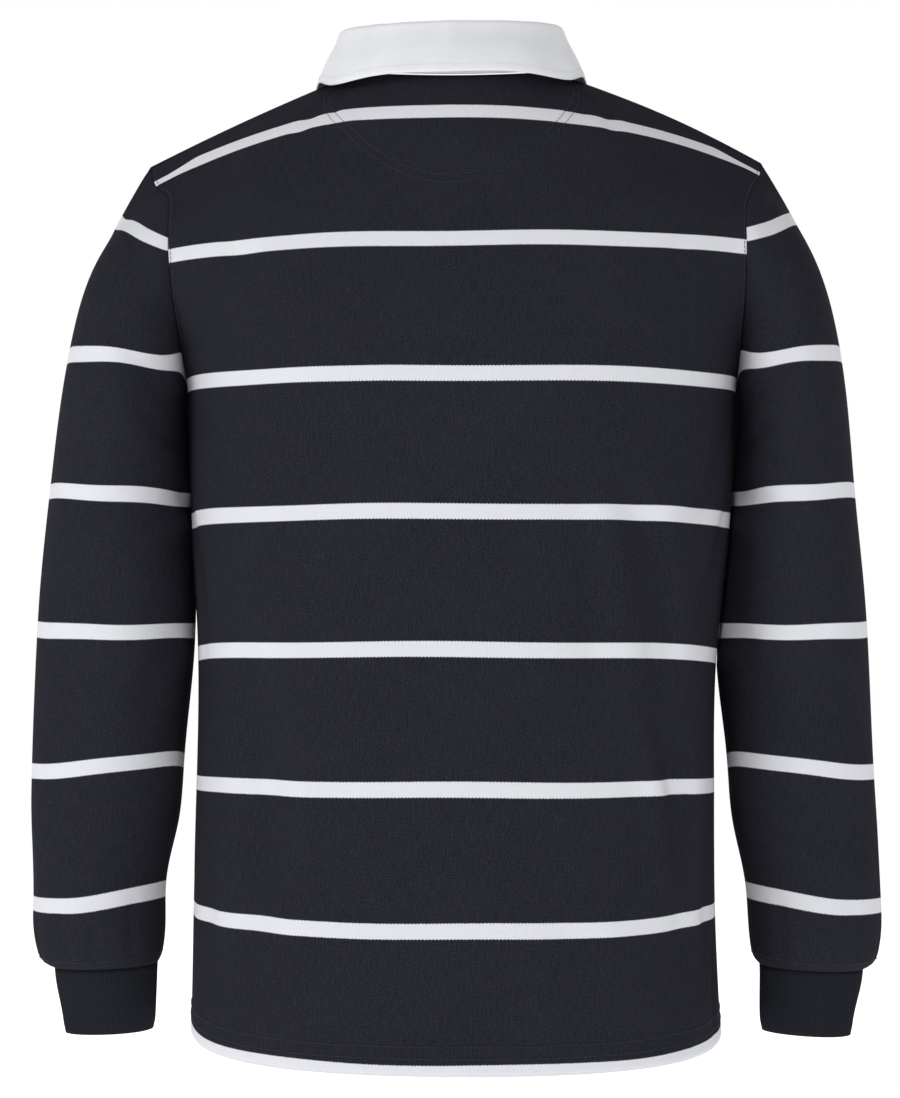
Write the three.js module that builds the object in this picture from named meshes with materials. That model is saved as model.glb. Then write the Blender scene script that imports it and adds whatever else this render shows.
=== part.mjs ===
// A long-sleeved rugby shirt, filled out as when worn, with no wearer in it.
// Millimetres. +Z is up, +Y is the shirt's back, -Y its front, +X its wearer's left.
// The origin is the centre of the neck opening, level with the neck ends of the shoulder seams.
import * as THREE from 'three';

// ---------------------------------------------------------------- driving dimensions

const JERSEY = 1.5;            // wall of the heavy cotton jersey
const TWILL = 1.4;             // wall of the collar's cloth
const RIB = 2.4;               // wall of the ribbed cuffs
const SEAM = 0.3;              // half the gap between the front and the back at a shared seam
const JOIN = 0.6;              // gap between a panel's edge and the piece sewn to it
const LAY = 0.8;               // gap between a panel and a piece that lies on it

const NECK = 0.37;             // share of a panel's half width taken up by the neck
const NECK_HALF = 86;          // half width of the neck opening
const TIP = { x: 238, z: -71 }; // outer end of the shoulder seam
const V_POINT = 765;           // cloth height at the neck end of the shoulder seam
const V_TIP = 718;             // cloth height at the outer end of the shoulder seam
const V_UNDERARM = 507.5;      // cloth height where the side seam meets the armhole

const PANEL_COLUMNS = 24;
const ROWS_BELOW = 10;         // rows of cells below the underarm
const SLEEVE_SIDES = 24;       // half of them lie on the back's armhole edge, and half on the front's
const ROWS_ABOVE = SLEEVE_SIDES / 2;
const SLEEVE_STEPS = 12;
const COLLAR_STATIONS = 30;
const TURN_STEP = 0.02;        // radians round an armhole from which its direction is taken
const EDGE_INSET = 0.98;       // place across a panel from which its direction at the edge is taken
const CLOTH_STEP = 5;          // length of sleeve from which its direction at the armhole is taken

const SLIT_HALF = 0.015;       // half width of the neck slit, as a share of the front's half width
const SLIT_FOOT = V_UNDERARM;  // cloth height of the slit's foot
const BAND = { half: 0.065, foot: 496, wall: 1.2, columns: 4, rows: 9 };
const BUTTON = { radius: 7, depth: 3, rim: 1.6, dish: 0.9, heights: [655, 600, 545] };
const PATCH = { half: 0.34, foot: 655, wall: 1.1, gap: 1.2, columns: 12, rows: 4 };

const COLOURS = {
  jersey: 0x2a2a32,
  rib: 0x25262b,
  twill: 0xe6e7eb,
  rubber: 0xe2e3e6,
};

// ---------------------------------------------------------------- tables

// Rows of a panel, from the hem up. v: cloth height above the hem. middle_z, middle_y: the panel's
// middle. x, y, z: its side edge. skew: how much wider the row is on the wearer's right. tilt: how
// much higher its left end is. sweep: degrees of arc from the middle to the edge. peak: how pointed
// the arc is. full: extra fullness halfway out.
const ROW_NAMES = ['v', 'middle_z', 'middle_y', 'x', 'skew', 'y', 'z', 'tilt', 'sweep', 'peak', 'full'];
const BACK_ROWS = [
  [0,     -751, 139, 204.5, 1.5, 0.3,  -735,  2, 90, 1.0, 9],
  [103.5, -648, 138, 201.5, 0.5, 0.3,  -641,  1, 90, 1.0, 9],
  [204.5, -547, 136, 200.5, 1.5, 0.3,  -549,  1, 90, 1.0, 9],
  [305.5, -446, 134, 201.5, 2.5, 0.3,  -452,  1, 90, 1.0, 9],
  [406.5, -346, 131, 208.0, 4.0, 0.3,  -349,  0, 90, 1.0, 9],
  [507.5, -245, 126, 213.0, 5.0, 0.3,  -243,  0, 88, 1.0, 8],
  [557.5, -195, 120, 215.0, 4.0, 47.0, -200, -1, 74, 1.1, 7],
  [608.5, -144, 110, 217.5, 2.5, 66.0, -147, -3, 62, 1.3, 5],
  [660.0, -93,  97,  220.0, 3.0, 50.0, -109, -3, 56, 1.5, 3],
  [690.0, -63,  88,  228.0, 4.0, 22.0, -91,  -3, 53, 1.7, 2],
  [709.5, -44,  80,  236.0, 1.0, 4.0,  -79,  -3, 52, 1.9, 0],
];
const FRONT_ROWS = [
  [0,     -752, -136, 204.5, 1.5, -0.3,  -735,  2, 90, 1.0, 9],
  [103.5, -649, -134, 201.5, 0.5, -0.3,  -641,  1, 90, 1.0, 9],
  [204.5, -548, -132, 200.5, 1.5, -0.3,  -549,  1, 90, 1.0, 9],
  [305.5, -447, -130, 201.5, 2.5, -0.3,  -452,  1, 90, 1.0, 9],
  [406.5, -347, -127, 208.0, 4.0, -0.3,  -349,  0, 90, 1.0, 9],
  [507.5, -246, -122, 213.0, 5.0, -0.3,  -243,  0, 88, 1.0, 8],
  [557.5, -196, -116, 213.0, 4.0, -44.0, -200, -1, 74, 1.1, 7],
  [608.5, -146, -104, 212.0, 2.5, -62.0, -147, -3, 62, 1.2, 5],
  [660.0, -97,  -87,  215.0, 3.0, -48.0, -109, -3, 56, 1.3, 3],
  [690.0, -66,  -76,  226.0, 4.0, -21.0, -91,  -3, 53, 1.5, 2],
  [709.5, -46,  -66,  236.0, 1.0, -4.0,  -79,  -3, 52, 1.7, 0],
];
const HIGH_ROW = 661;          // rows above this height shape the shoulders only
const LEAST_RISE = 3;          // least cloth height from the last row to the top edge
const FRONT_SHOULDER = { from: 0.4, over: 0.2 }; // where across the front its high rows take hold

// Rings of a sleeve. The first two lie at a share of the way down from the armhole, and the others
// at a cloth height v above the cuff. out_x, out_z and in_x, in_z: the ring's outer and inner
// ends. mid_y, depth: its middle and half depth. bow: how far its front and back rise. out_skew,
// in_skew: how much further out the left sleeve's ends lie than the right's.
const RING_NAMES = ['v', 'out_x', 'out_z', 'in_x', 'in_z', 'mid_y', 'depth', 'bow', 'out_skew', 'in_skew'];
const CAP_RINGS = [
  [1 / 3, 276.0, -146, 214.5, -273, 1, 72, 3,  0, -4.5],
  [2 / 3, 300.5, -227, 213.5, -301, 1, 72, -2, 1, -4.5],
];
const SLEEVE_RINGS = [
  [351, 311.5, -322, 211.0, -331, 1,  68, -2, 2.7,  -4.2],
  [250, 321.0, -431, 204.5, -432, 0,  60, -2, 3.2,  -2.2],
  [149, 325.5, -540, 212.0, -531, -1, 53, -1, 2.7,  0],
  [48,  327.0, -642, 225.5, -631, -3, 47, -3, -0.6, 0],
  [13,  323.5, -679, 227.0, -673, -4, 45, -3, -1.2, -1],
  [4,   316.5, -688, 230.5, -684, -4, 39, -2, -2,   -2],
  [0,   311.5, -692, 233.5, -689, -4, 34, 0,  -2,   -2],
];
// Cloth height of the sleeve's edge against the panel's cloth height at the same place.
const CAP_EDGE = [[507.5, 437], [522, 452], [615, 553], [718, 604]];

// Rings of a cuff: drop below its seam, half width, half depth.
const CUFF_RINGS = [[0, 39, 34], [10, 39, 33], [32, 36.5, 30.5], [50, 34, 29]];
const CUFF_MIDDLE = { x: 272.5, y: -4, z: -690.5, tilt: 1.5, skew: -2 };

// The collar at angles round the neck from the middle of the back: its fold line and its free edge.
const COLLAR_NAMES = ['angle', 'fold_x', 'fold_y', 'fold_z', 'edge_x', 'edge_y', 'edge_z'];
const COLLAR_ROWS = [
  [0,   0,  61,  26,  0,   80,  -15],
  [35,  50, 50,  27,  59,  67,  -14.5],
  [65,  77, 26,  30,  93,  35,  -11],
  [90,  84, 0,   31,  104, 2,   -4],
  [118, 76, -34, 14,  106, -38, -36],
  [147, 46, -64, -24, 92,  -77, -82],
  [172, 12, -76, -55, 60,  -99, -118],
];
const FOLD_RADIUS = 3.2;
const STAND_LIFT = 1.8;        // rise of the stand's lower edge above the panels' neck edge

// ---------------------------------------------------------------- curves

const mix = (a, b, t) => a + (b - a) * t;
const ease = (t) => { const s = THREE.MathUtils.clamp(t, 0, 1); return s * s * (3 - 2 * s); };

// A natural cubic curve through pairs of a key and a value.
function curveThrough(keys, values) {
  const n = keys.length;
  const lower = new Array(n).fill(0);
  const middle = new Array(n).fill(1);
  const upper = new Array(n).fill(0);
  const right = new Array(n).fill(0);
  for (let i = 1; i < n - 1; i++) {
    const before = keys[i] - keys[i - 1];
    const after = keys[i + 1] - keys[i];
    lower[i] = before;
    middle[i] = 2 * (before + after);
    upper[i] = after;
    right[i] = 6 * ((values[i + 1] - values[i]) / after - (values[i] - values[i - 1]) / before);
  }
  for (let i = 1; i < n; i++) {
    const factor = lower[i] / middle[i - 1];
    middle[i] -= factor * upper[i - 1];
    right[i] -= factor * right[i - 1];
  }
  const bend = new Array(n).fill(0);
  for (let i = n - 2; i > 0; i--) bend[i] = (right[i] - upper[i] * bend[i + 1]) / middle[i];
  return (key) => {
    let i = 0;
    while (i < n - 2 && key > keys[i + 1]) i += 1;
    const span = keys[i + 1] - keys[i];
    const b = (key - keys[i]) / span;
    const a = 1 - b;
    const curved = (a ** 3 - a) * bend[i] + (b ** 3 - b) * bend[i + 1];
    return a * values[i] + b * values[i + 1] + curved * span * span / 6;
  };
}

// The same through points: gives a function from a key to a vector.
function pathThrough(keys, points) {
  const parts = ['x', 'y', 'z'].map((axis) => curveThrough(keys, points.map((p) => p[axis])));
  return (key) => new THREE.Vector3(...parts.map((part) => part(key)));
}

function named(names, row) {
  return Object.fromEntries(names.map((name, k) => [name, row[k]]));
}

// ---------------------------------------------------------------- the body's surface

const SIDES = {
  back: { sign: 1, rows: BACK_ROWS, neck_y: 66, neck_z: -14, neck_v: 744, power: 1.6 },
  front: { sign: -1, rows: FRONT_ROWS, neck_y: -72, neck_z: -78, neck_v: 679, power: 1.2 },
};
for (const side of Object.values(SIDES)) {
  const keys = side.rows.map((row) => row[0]);
  side.row = {};
  ROW_NAMES.forEach((name, k) => {
    side.row[name] = curveThrough(keys, side.rows.map((row) => row[k]));
  });
}

// A point of a panel's row. across runs from -1 at the wearer's right edge to 1 at the left.
function rowPoint(side, v, across) {
  const at = {};
  for (const name of ROW_NAMES) at[name] = side.row[name](v);
  const hand = Math.sign(across) || 1;
  const share = Math.abs(across);
  const sweep = THREE.MathUtils.degToRad(at.sweep);
  const turn = share * sweep;
  const puff = at.full * Math.sin(Math.PI * share) ** 2;
  const reach = at.x - hand * at.skew;
  const near = Math.max(0, (Math.cos(turn) - Math.cos(sweep)) / (1 - Math.cos(sweep))) ** at.peak;
  return new THREE.Vector3(
    hand * (reach * Math.sin(turn) / Math.sin(sweep) + puff * Math.sin(turn)),
    at.y + (at.middle_y - at.y) * near + side.sign * puff * Math.cos(turn),
    at.middle_z + (at.z - at.middle_z) * share ** 2.4 + hand * at.tilt * share ** 1.3,
  );
}

// A panel's top edge: half the neck opening, then the shoulder seam.
function topEdge(side, across) {
  const hand = Math.sign(across) || 1;
  const share = Math.abs(across);
  const seamY = side.sign * SEAM;
  if (share <= NECK) {
    const turn = share / NECK * Math.PI / 2;
    const near = Math.cos(turn) ** side.power;
    const point = new THREE.Vector3(
      hand * NECK_HALF * Math.sin(turn),
      seamY + (side.neck_y - seamY) * Math.cos(turn),
      side.neck_z * near,
    );
    return { point, v: mix(V_POINT, side.neck_v, near) };
  }
  const t = (share - NECK) / (1 - NECK);
  const point = new THREE.Vector3(hand * mix(NECK_HALF, TIP.x, t), seamY, TIP.z * t);
  return { point, v: mix(V_POINT, V_TIP, t) };
}

// The line up a panel at one place across it, as a function of the cloth height.
function panelLine(side, across) {
  const top = topEdge(side, across);
  const low = side.rows.map((row) => row[0]).filter((v) => v < HIGH_ROW);
  const lowPoints = low.map((v) => rowPoint(side, v, across));
  const plain = pathThrough([...low, top.v], [...lowPoints, top.point]);
  const high = side.rows.map((row) => row[0]).filter((v) => v > HIGH_ROW);
  let line = plain;
  if (top.v > high[high.length - 1] + LEAST_RISE) {
    const { from, over } = FRONT_SHOULDER;
    const weight = side.sign > 0 ? 1 : ease((Math.abs(across) - from) / over);
    const highPoints = high.map((v) => plain(v).lerp(rowPoint(side, v, across), weight));
    line = pathThrough([...low, ...high, top.v], [...lowPoints, ...highPoints, top.point]);
  }
  const at = (v) => {
    const point = line(v);
    point.y = side.sign * Math.max(SEAM, side.sign * point.y);
    return point;
  };
  return { at, top: top.v };
}

// ---------------------------------------------------------------- the sleeve's surface

const capEdge = curveThrough(CAP_EDGE.map((pair) => pair[0]), CAP_EDGE.map((pair) => pair[1]));
const edgeLines = new Map();

function edgeLine(side, hand) {
  const key = side.sign * 2 + hand;
  if (!edgeLines.has(key)) edgeLines.set(key, panelLine(side, hand));
  return edgeLines.get(key);
}

// The armhole's edge at a turn round it: 0 at the shoulder, then the back, the underarm and the front.
function armholePoint(hand, turn) {
  const onBack = turn <= Math.PI;
  const side = onBack ? SIDES.back : SIDES.front;
  const share = (onBack ? turn : 2 * Math.PI - turn) / Math.PI;
  const line = edgeLine(side, hand);
  const v = mix(line.top, V_UNDERARM, share);
  return { side, v, point: line.at(v), cloth: capEdge(v) };
}

function ringPoint(row, hand, turn) {
  const ring = named(RING_NAMES, row);
  const outX = ring.out_x + hand * ring.out_skew;
  const inX = ring.in_x + hand * ring.in_skew;
  const cos = Math.cos(turn);
  const sin = Math.sin(turn);
  return new THREE.Vector3(
    hand * ((outX + inX) / 2 + (outX - inX) / 2 * cos),
    ring.mid_y + ring.depth * sin,
    (ring.out_z + ring.in_z) / 2 + (ring.out_z - ring.in_z) / 2 * cos + ring.bow * sin * sin,
  );
}

// The line down a sleeve at one turn round it, as a function of the cloth height.
function sleeveLine(hand, turn) {
  const edge = armholePoint(hand, turn);
  const first = SLEEVE_RINGS[0][0];
  const keys = [edge.cloth];
  const points = [edge.point];
  for (const row of CAP_RINGS) {
    keys.unshift(mix(edge.cloth, first, row[0]));
    points.unshift(ringPoint(row, hand, turn));
  }
  for (const row of SLEEVE_RINGS) {
    keys.unshift(row[0]);
    points.unshift(ringPoint(row, hand, turn));
  }
  return { at: pathThrough(keys, points), top: edge.cloth, edge };
}

// ---------------------------------------------------------------- walls

// Unit normals of a grid of points, from its neighbours on both sides.
function gridNormals(grid, wraps) {
  const columns = grid.length;
  const rows = grid[0].length;
  return grid.map((line, i) => line.map((_, j) => {
    const left = wraps ? (i + columns - 1) % columns : Math.max(0, i - 1);
    const right = wraps ? (i + 1) % columns : Math.min(columns - 1, i + 1);
    const down = Math.max(0, j - 1);
    const up = Math.min(rows - 1, j + 1);
    const across = grid[right][j].clone().sub(grid[left][j]);
    const along = grid[i][up].clone().sub(grid[i][down]);
    return across.cross(along).normalize();
  }));
}

// A closed wall between two grids of points. keep says which cells have cloth.
function wallGeometry(outer, inner, wraps, keep = () => true) {
  const columns = outer.length;
  const rows = outer[0].length;
  const cellColumns = wraps ? columns : columns - 1;
  const positions = [];
  for (const grid of [outer, inner]) {
    for (const line of grid) for (const point of line) positions.push(point.x, point.y, point.z);
  }
  const half = columns * rows;
  const index = (i, j) => (i % columns) * rows + j;
  const inside = (i, j) => {
    if (j < 0 || j >= rows - 1) return false;
    if (!wraps && (i < 0 || i >= cellColumns)) return false;
    return keep((i + cellColumns) % cellColumns, j);
  };
  const faces = [];
  const at = (k) => new THREE.Vector3().fromArray(positions, 3 * k);
  const quad = (a, b, c, d) => {
    const straight = at(a).distanceTo(at(c)) <= at(b).distanceTo(at(d));
    faces.push(...(straight ? [a, b, c, a, c, d] : [a, b, d, b, c, d]));
  };
  for (let i = 0; i < cellColumns; i++) {
    for (let j = 0; j < rows - 1; j++) {
      if (!inside(i, j)) continue;
      const a = index(i, j);
      const b = index(i + 1, j);
      const c = index(i + 1, j + 1);
      const d = index(i, j + 1);
      quad(a, b, c, d);
      quad(a + half, d + half, c + half, b + half);
      if (!inside(i, j - 1)) quad(a, a + half, b + half, b);
      if (!inside(i, j + 1)) quad(c, c + half, d + half, d);
      if (!inside(i - 1, j)) quad(d, d + half, a + half, a);
      if (!inside(i + 1, j)) quad(b, b + half, c + half, c);
    }
  }
  const used = new Map();
  const kept = [];
  const indices = faces.map((old) => {
    if (!used.has(old)) {
      used.set(old, used.size);
      kept.push(positions[3 * old], positions[3 * old + 1], positions[3 * old + 2]);
    }
    return used.get(old);
  });
  const geometry = new THREE.BufferGeometry();
  geometry.setAttribute('position', new THREE.Float32BufferAttribute(kept, 3));
  geometry.setIndex(indices);
  geometry.computeVertexNormals();
  return geometry;
}

const moved = (grid, normals, distance) => grid.map(
  (line, i) => line.map((point, j) => point.clone().addScaledVector(normals[i][j], distance)),
);

function addMesh(group, name, geometry, material) {
  const mesh = new THREE.Mesh(geometry, material);
  mesh.name = name;
  group.add(mesh);
}

const cloth = (colour, roughness) => new THREE.MeshStandardMaterial({ color: colour, roughness, metalness: 0 });

// ---------------------------------------------------------------- seams

// A piece of a direction at right angles to another, made one long.
function squareTo(direction, axis) {
  return direction.clone().addScaledVector(axis, -direction.dot(axis)).normalize();
}

// Where a sleeve is sewn to the body: the directions of the panel and of the sleeve away from the seam.
function armholeSeam(hand, turn) {
  const edge = armholePoint(hand, turn);
  const before = armholePoint(hand, Math.max(0, turn - TURN_STEP)).point;
  const after = armholePoint(hand, Math.min(2 * Math.PI, turn + TURN_STEP)).point;
  const along = after.sub(before).normalize();
  const inPanel = panelLine(edge.side, hand * EDGE_INSET).at(edge.v).sub(edge.point);
  const inSleeve = sleeveLine(hand, turn).at(edge.cloth - CLOTH_STEP).sub(edge.point);
  const outOfPanel = squareTo(inPanel, along).negate();
  const intoSleeve = squareTo(inSleeve, along);
  const panelNormal = outOfPanel.clone().cross(along).multiplyScalar(hand);
  const sleeveNormal = intoSleeve.clone().cross(along).multiplyScalar(hand);
  const mean = panelNormal.clone().add(sleeveNormal);
  const open = ease((mean.length() - 0.9) / 0.6);
  mean.normalize();
  const gap = outOfPanel.clone().add(intoSleeve).multiplyScalar(open);
  gap.addScaledVector(panelNormal, 1 - open).normalize();
  return {
    point: edge.point,
    panelNormal: panelNormal.lerp(mean, open).normalize(),
    sleeveNormal: sleeveNormal.lerp(mean, open).normalize(),
    gap,
  };
}

// ---------------------------------------------------------------- front and back

// Places across a panel, in the order that turns its cloth outwards, with the neck's ends among them.
function placesAcross(side) {
  const places = [];
  for (let i = 0; i <= PANEL_COLUMNS; i++) {
    const even = -1 + 2 * i / PANEL_COLUMNS;
    const place = -side.sign * even * (1.12 - 0.12 * even * even);
    places.push(Math.abs(Math.abs(place) - NECK) < 0.02 ? Math.sign(place) * NECK : place);
  }
  if (side.sign < 0) places.splice(PANEL_COLUMNS / 2, 1, -SLIT_HALF, SLIT_HALF);
  return places;
}

function panelHeights(top) {
  const heights = [];
  for (let j = 0; j < ROWS_BELOW; j++) heights.push(V_UNDERARM * j / ROWS_BELOW);
  for (let j = 0; j <= ROWS_ABOVE; j++) heights.push(mix(V_UNDERARM, top, j / ROWS_ABOVE));
  return heights;
}

// The wall's direction at a panel's point, which at a seam is square to the seam.
function panelDirection(side, point, normal, across, row) {
  const rows = ROWS_BELOW + ROWS_ABOVE;
  const direction = normal.clone();
  if (row === rows && Math.abs(across) >= NECK) return direction.setY(0).normalize();
  if (Math.abs(across) > 0.999) {
    if (row <= ROWS_BELOW) return direction.setY(0).normalize();
    const share = (rows - row) / ROWS_ABOVE;
    const turn = side.sign > 0 ? share * Math.PI : (2 - share) * Math.PI;
    return armholeSeam(Math.sign(across), turn).panelNormal;
  }
  return direction;
}

function makePanel(group, name, side) {
  const places = placesAcross(side);
  const outer = places.map((across) => {
    const line = panelLine(side, across);
    return panelHeights(line.top).map((v) => line.at(v));
  });
  const normals = gridNormals(outer, false);
  const directions = outer.map((line, i) => line.map(
    (point, j) => panelDirection(side, point, normals[i][j], places[i], j),
  ));
  const inner = moved(outer, directions, -JERSEY);
  const hasCloth = (i, j) => {
    const atSlit = Math.abs(places[i] + places[i + 1]) < 1e-9;
    return !(atSlit && j >= ROWS_BELOW);
  };
  const keep = side.sign < 0 ? hasCloth : () => true;
  addMesh(group, name, wallGeometry(outer, inner, false, keep), cloth(COLOURS.jersey, 0.9));
}

// ---------------------------------------------------------------- sleeves and cuffs

function makeSleeve(group, name, hand) {
  const outer = [];
  const edgeDirections = [];
  for (let i = 0; i < SLEEVE_SIDES; i++) {
    const share = i / SLEEVE_SIDES;
    const turn = 2 * Math.PI * (hand > 0 ? share : (1 - share) % 1);
    const line = sleeveLine(hand, turn);
    const seam = armholeSeam(hand, turn);
    const column = [];
    for (let j = 0; j < SLEEVE_STEPS; j++) {
      column.push(line.at(line.top * (j / SLEEVE_STEPS)));
    }
    column.push(seam.point.clone().addScaledVector(seam.gap, JOIN));
    outer.push(column);
    edgeDirections.push(seam.sleeveNormal);
  }
  const directions = gridNormals(outer, true);
  directions.forEach((line, i) => { line[SLEEVE_STEPS] = edgeDirections[i]; });
  const inner = moved(outer, directions, -JERSEY);
  addMesh(group, name, wallGeometry(outer, inner, true), cloth(COLOURS.jersey, 0.9));
}

function makeCuff(group, name, hand) {
  const middleX = CUFF_MIDDLE.x + hand * CUFF_MIDDLE.skew;
  const outer = [];
  for (let i = 0; i < SLEEVE_SIDES; i++) {
    const turn = hand * 2 * Math.PI * i / SLEEVE_SIDES;
    const rise = -CUFF_MIDDLE.tilt * Math.cos(turn);
    outer.push([...CUFF_RINGS].reverse().map(([drop, halfWidth, halfDepth]) => new THREE.Vector3(
      hand * (middleX + halfWidth * Math.cos(turn)),
      CUFF_MIDDLE.y + halfDepth * Math.sin(turn),
      CUFF_MIDDLE.z - JOIN + rise - drop,
    )));
  }
  const inner = moved(outer, gridNormals(outer, true), -RIB);
  addMesh(group, name, wallGeometry(outer, inner, true), cloth(COLOURS.rib, 0.92));
}

// ---------------------------------------------------------------- collar

const collarCurves = {};
COLLAR_NAMES.forEach((name, k) => {
  collarCurves[name] = curveThrough(COLLAR_ROWS.map((row) => row[0]), COLLAR_ROWS.map((row) => row[k]));
});

// The collar's section at an angle round the neck: up the stand, over the fold and down the fall.
function collarSection(degrees) {
  const hand = Math.sign(degrees) || 1;
  const angle = Math.abs(degrees);
  const turn = THREE.MathUtils.degToRad(angle);
  const side = angle <= 90 ? SIDES.back : SIDES.front;
  const share = (angle <= 90 ? angle : 180 - angle) / 90 * NECK;
  const out = new THREE.Vector3(Math.sin(turn), Math.cos(turn), 0);
  const up = new THREE.Vector3(0, 0, 1);
  const at = (name) => new THREE.Vector3(
    collarCurves[`${name}_x`](angle),
    collarCurves[`${name}_y`](angle),
    collarCurves[`${name}_z`](angle),
  );
  const seam = topEdge(side, share).point.addScaledVector(up, STAND_LIFT).addScaledVector(out, -JERSEY / 2);
  const fold = at('fold');
  const beside = (sideways, drop) => fold.clone()
    .addScaledVector(out, sideways * FOLD_RADIUS).addScaledVector(up, -drop * FOLD_RADIUS);
  const standTop = beside(-1, 1);
  const fallTop = beside(1, 1);
  const edge = at('edge');
  const section = [
    seam,
    seam.clone().lerp(standTop, 0.5),
    standTop,
    beside(-0.7, 0.3),
    fold,
    beside(0.7, 0.3),
    fallTop,
    fallTop.clone().lerp(edge, 0.5).addScaledVector(out, 2),
    edge,
  ];
  for (const point of section) point.x *= hand;
  return section;
}

function makeCollar(group) {
  const last = COLLAR_ROWS[COLLAR_ROWS.length - 1][0];
  const middle = [];
  for (let i = 0; i <= COLLAR_STATIONS; i++) {
    middle.push(collarSection(mix(-last, last, i / COLLAR_STATIONS)));
  }
  const normals = gridNormals(middle, false);
  const geometry = wallGeometry(moved(middle, normals, TWILL / 2), moved(middle, normals, -TWILL / 2), false);
  addMesh(group, 'collar', geometry, cloth(COLOURS.twill, 0.8));
}

// ---------------------------------------------------------------- pieces that lie on a panel

// A panel's point and outward normal.
function panelFrame(side, across, v) {
  const inwards = across > 0 ? -0.01 : 0.01;
  const here = panelLine(side, across);
  const point = here.at(v);
  const beside = panelLine(side, across + inwards).at(v).sub(point);
  const normal = beside.cross(here.at(v + 3).sub(point)).normalize();
  return { point, normal: normal.multiplyScalar(-side.sign * Math.sign(inwards)) };
}

// A flat piece on a panel: places are [across, height] cells, near and far its distances outwards.
function layOn(group, name, side, places, near, far, material) {
  const frames = places.map((line) => line.map(([across, v]) => panelFrame(side, across, v)));
  const at = (distance) => frames.map((line) => line.map(
    (frame) => frame.point.clone().addScaledVector(frame.normal, distance),
  ));
  addMesh(group, name, wallGeometry(at(far), at(near), false), material);
}

function makeNeckPatch(group) {
  const places = [];
  for (let i = 0; i <= PATCH.columns; i++) {
    const share = -0.97 * Math.cos(Math.PI * i / PATCH.columns);
    const across = -PATCH.half * share;
    const top = topEdge(SIDES.back, across).v - 3;
    const foot = mix(PATCH.foot, V_POINT - 3, 1 - Math.sqrt(1 - share * share));
    const line = [];
    for (let j = 0; j <= PATCH.rows; j++) line.push([across, mix(Math.min(foot, top - 4), top, j / PATCH.rows)]);
    places.push(line);
  }
  const near = -(JERSEY + PATCH.gap);
  layOn(group, 'neck_patch', SIDES.back, places, near - PATCH.wall, near, cloth(COLOURS.jersey, 0.9));
}

function makeBand(group, name, near, far) {
  const places = [];
  for (let i = 0; i <= BAND.columns; i++) {
    const across = mix(-BAND.half, BAND.half, i / BAND.columns);
    const top = topEdge(SIDES.front, across).v - 2;
    const line = [];
    for (let j = 0; j <= BAND.rows; j++) line.push([across, mix(BAND.foot, top, j / BAND.rows)]);
    places.push(line);
  }
  layOn(group, name, SIDES.front, places, near, far, cloth(COLOURS.jersey, 0.9));
}

function makeButtons(group) {
  const { radius, depth, rim, dish } = BUTTON;
  const profile = [[0, 0], [radius - 1, 0], [radius, 1], [radius, depth - 0.6], [radius - 0.6, depth],
    [radius - rim, depth], [radius - rim - 0.8, depth - dish], [0, depth - dish]];
  const shape = new THREE.LatheGeometry(profile.map(([x, y]) => new THREE.Vector2(x, y)), 14);
  BUTTON.heights.forEach((height, k) => {
    const { point, normal } = panelFrame(SIDES.front, 0, height);
    const mesh = new THREE.Mesh(shape, cloth(COLOURS.rubber, 0.6));
    mesh.name = `button_${k + 1}`;
    mesh.position.copy(point).addScaledVector(normal, LAY + BAND.wall + JOIN);
    mesh.quaternion.setFromUnitVectors(new THREE.Vector3(0, 1, 0), normal);
    group.add(mesh);
  });
}

// ---------------------------------------------------------------- the shirt

const shirt = new THREE.Group();
shirt.name = 'rugby_shirt';
makePanel(shirt, 'back', SIDES.back);
makePanel(shirt, 'front', SIDES.front);
makeSleeve(shirt, 'sleeve_left', 1);
makeSleeve(shirt, 'sleeve_right', -1);
makeCuff(shirt, 'cuff_left', 1);
makeCuff(shirt, 'cuff_right', -1);
makeCollar(shirt);
makeNeckPatch(shirt);
makeBand(shirt, 'placket_over', LAY, LAY + BAND.wall);
makeBand(shirt, 'placket_under', -(JERSEY + LAY + BAND.wall), -(JERSEY + LAY));
makeButtons(shirt);

export default shirt;
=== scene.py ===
import bisect
import math
import random

import bmesh
import bpy
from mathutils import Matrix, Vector


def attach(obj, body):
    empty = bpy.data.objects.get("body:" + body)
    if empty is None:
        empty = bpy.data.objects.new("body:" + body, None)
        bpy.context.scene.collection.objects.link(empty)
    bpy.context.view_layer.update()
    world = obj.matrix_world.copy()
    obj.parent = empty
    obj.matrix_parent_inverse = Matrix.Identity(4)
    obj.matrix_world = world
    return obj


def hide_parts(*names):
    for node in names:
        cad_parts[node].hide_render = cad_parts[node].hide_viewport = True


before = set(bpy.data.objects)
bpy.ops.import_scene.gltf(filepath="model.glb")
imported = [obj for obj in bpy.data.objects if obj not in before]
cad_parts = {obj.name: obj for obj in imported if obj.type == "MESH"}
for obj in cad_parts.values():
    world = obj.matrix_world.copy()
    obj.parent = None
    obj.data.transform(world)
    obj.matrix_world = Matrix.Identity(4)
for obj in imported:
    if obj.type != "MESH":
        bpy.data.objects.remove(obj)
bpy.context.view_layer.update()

# A rugby shirt, filled out as worn. Lengths are millimetres here, and meshes are made in metres.
# +Z is up, +Y is the shirt's back, +X its wearer's left.
MM = 0.001
UP = Vector((0, 0, 1))

# ---- driving sizes

REPEAT = 101.0                 # from one stripe to the next
STRIPE = 11.3                  # height of a light stripe
FIRST_STRIPE = 2.5             # middle of the lowest stripe above the body's hem
SLEEVE_STRIPE = 48.0           # middle of the lowest stripe above a sleeve's end

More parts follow.
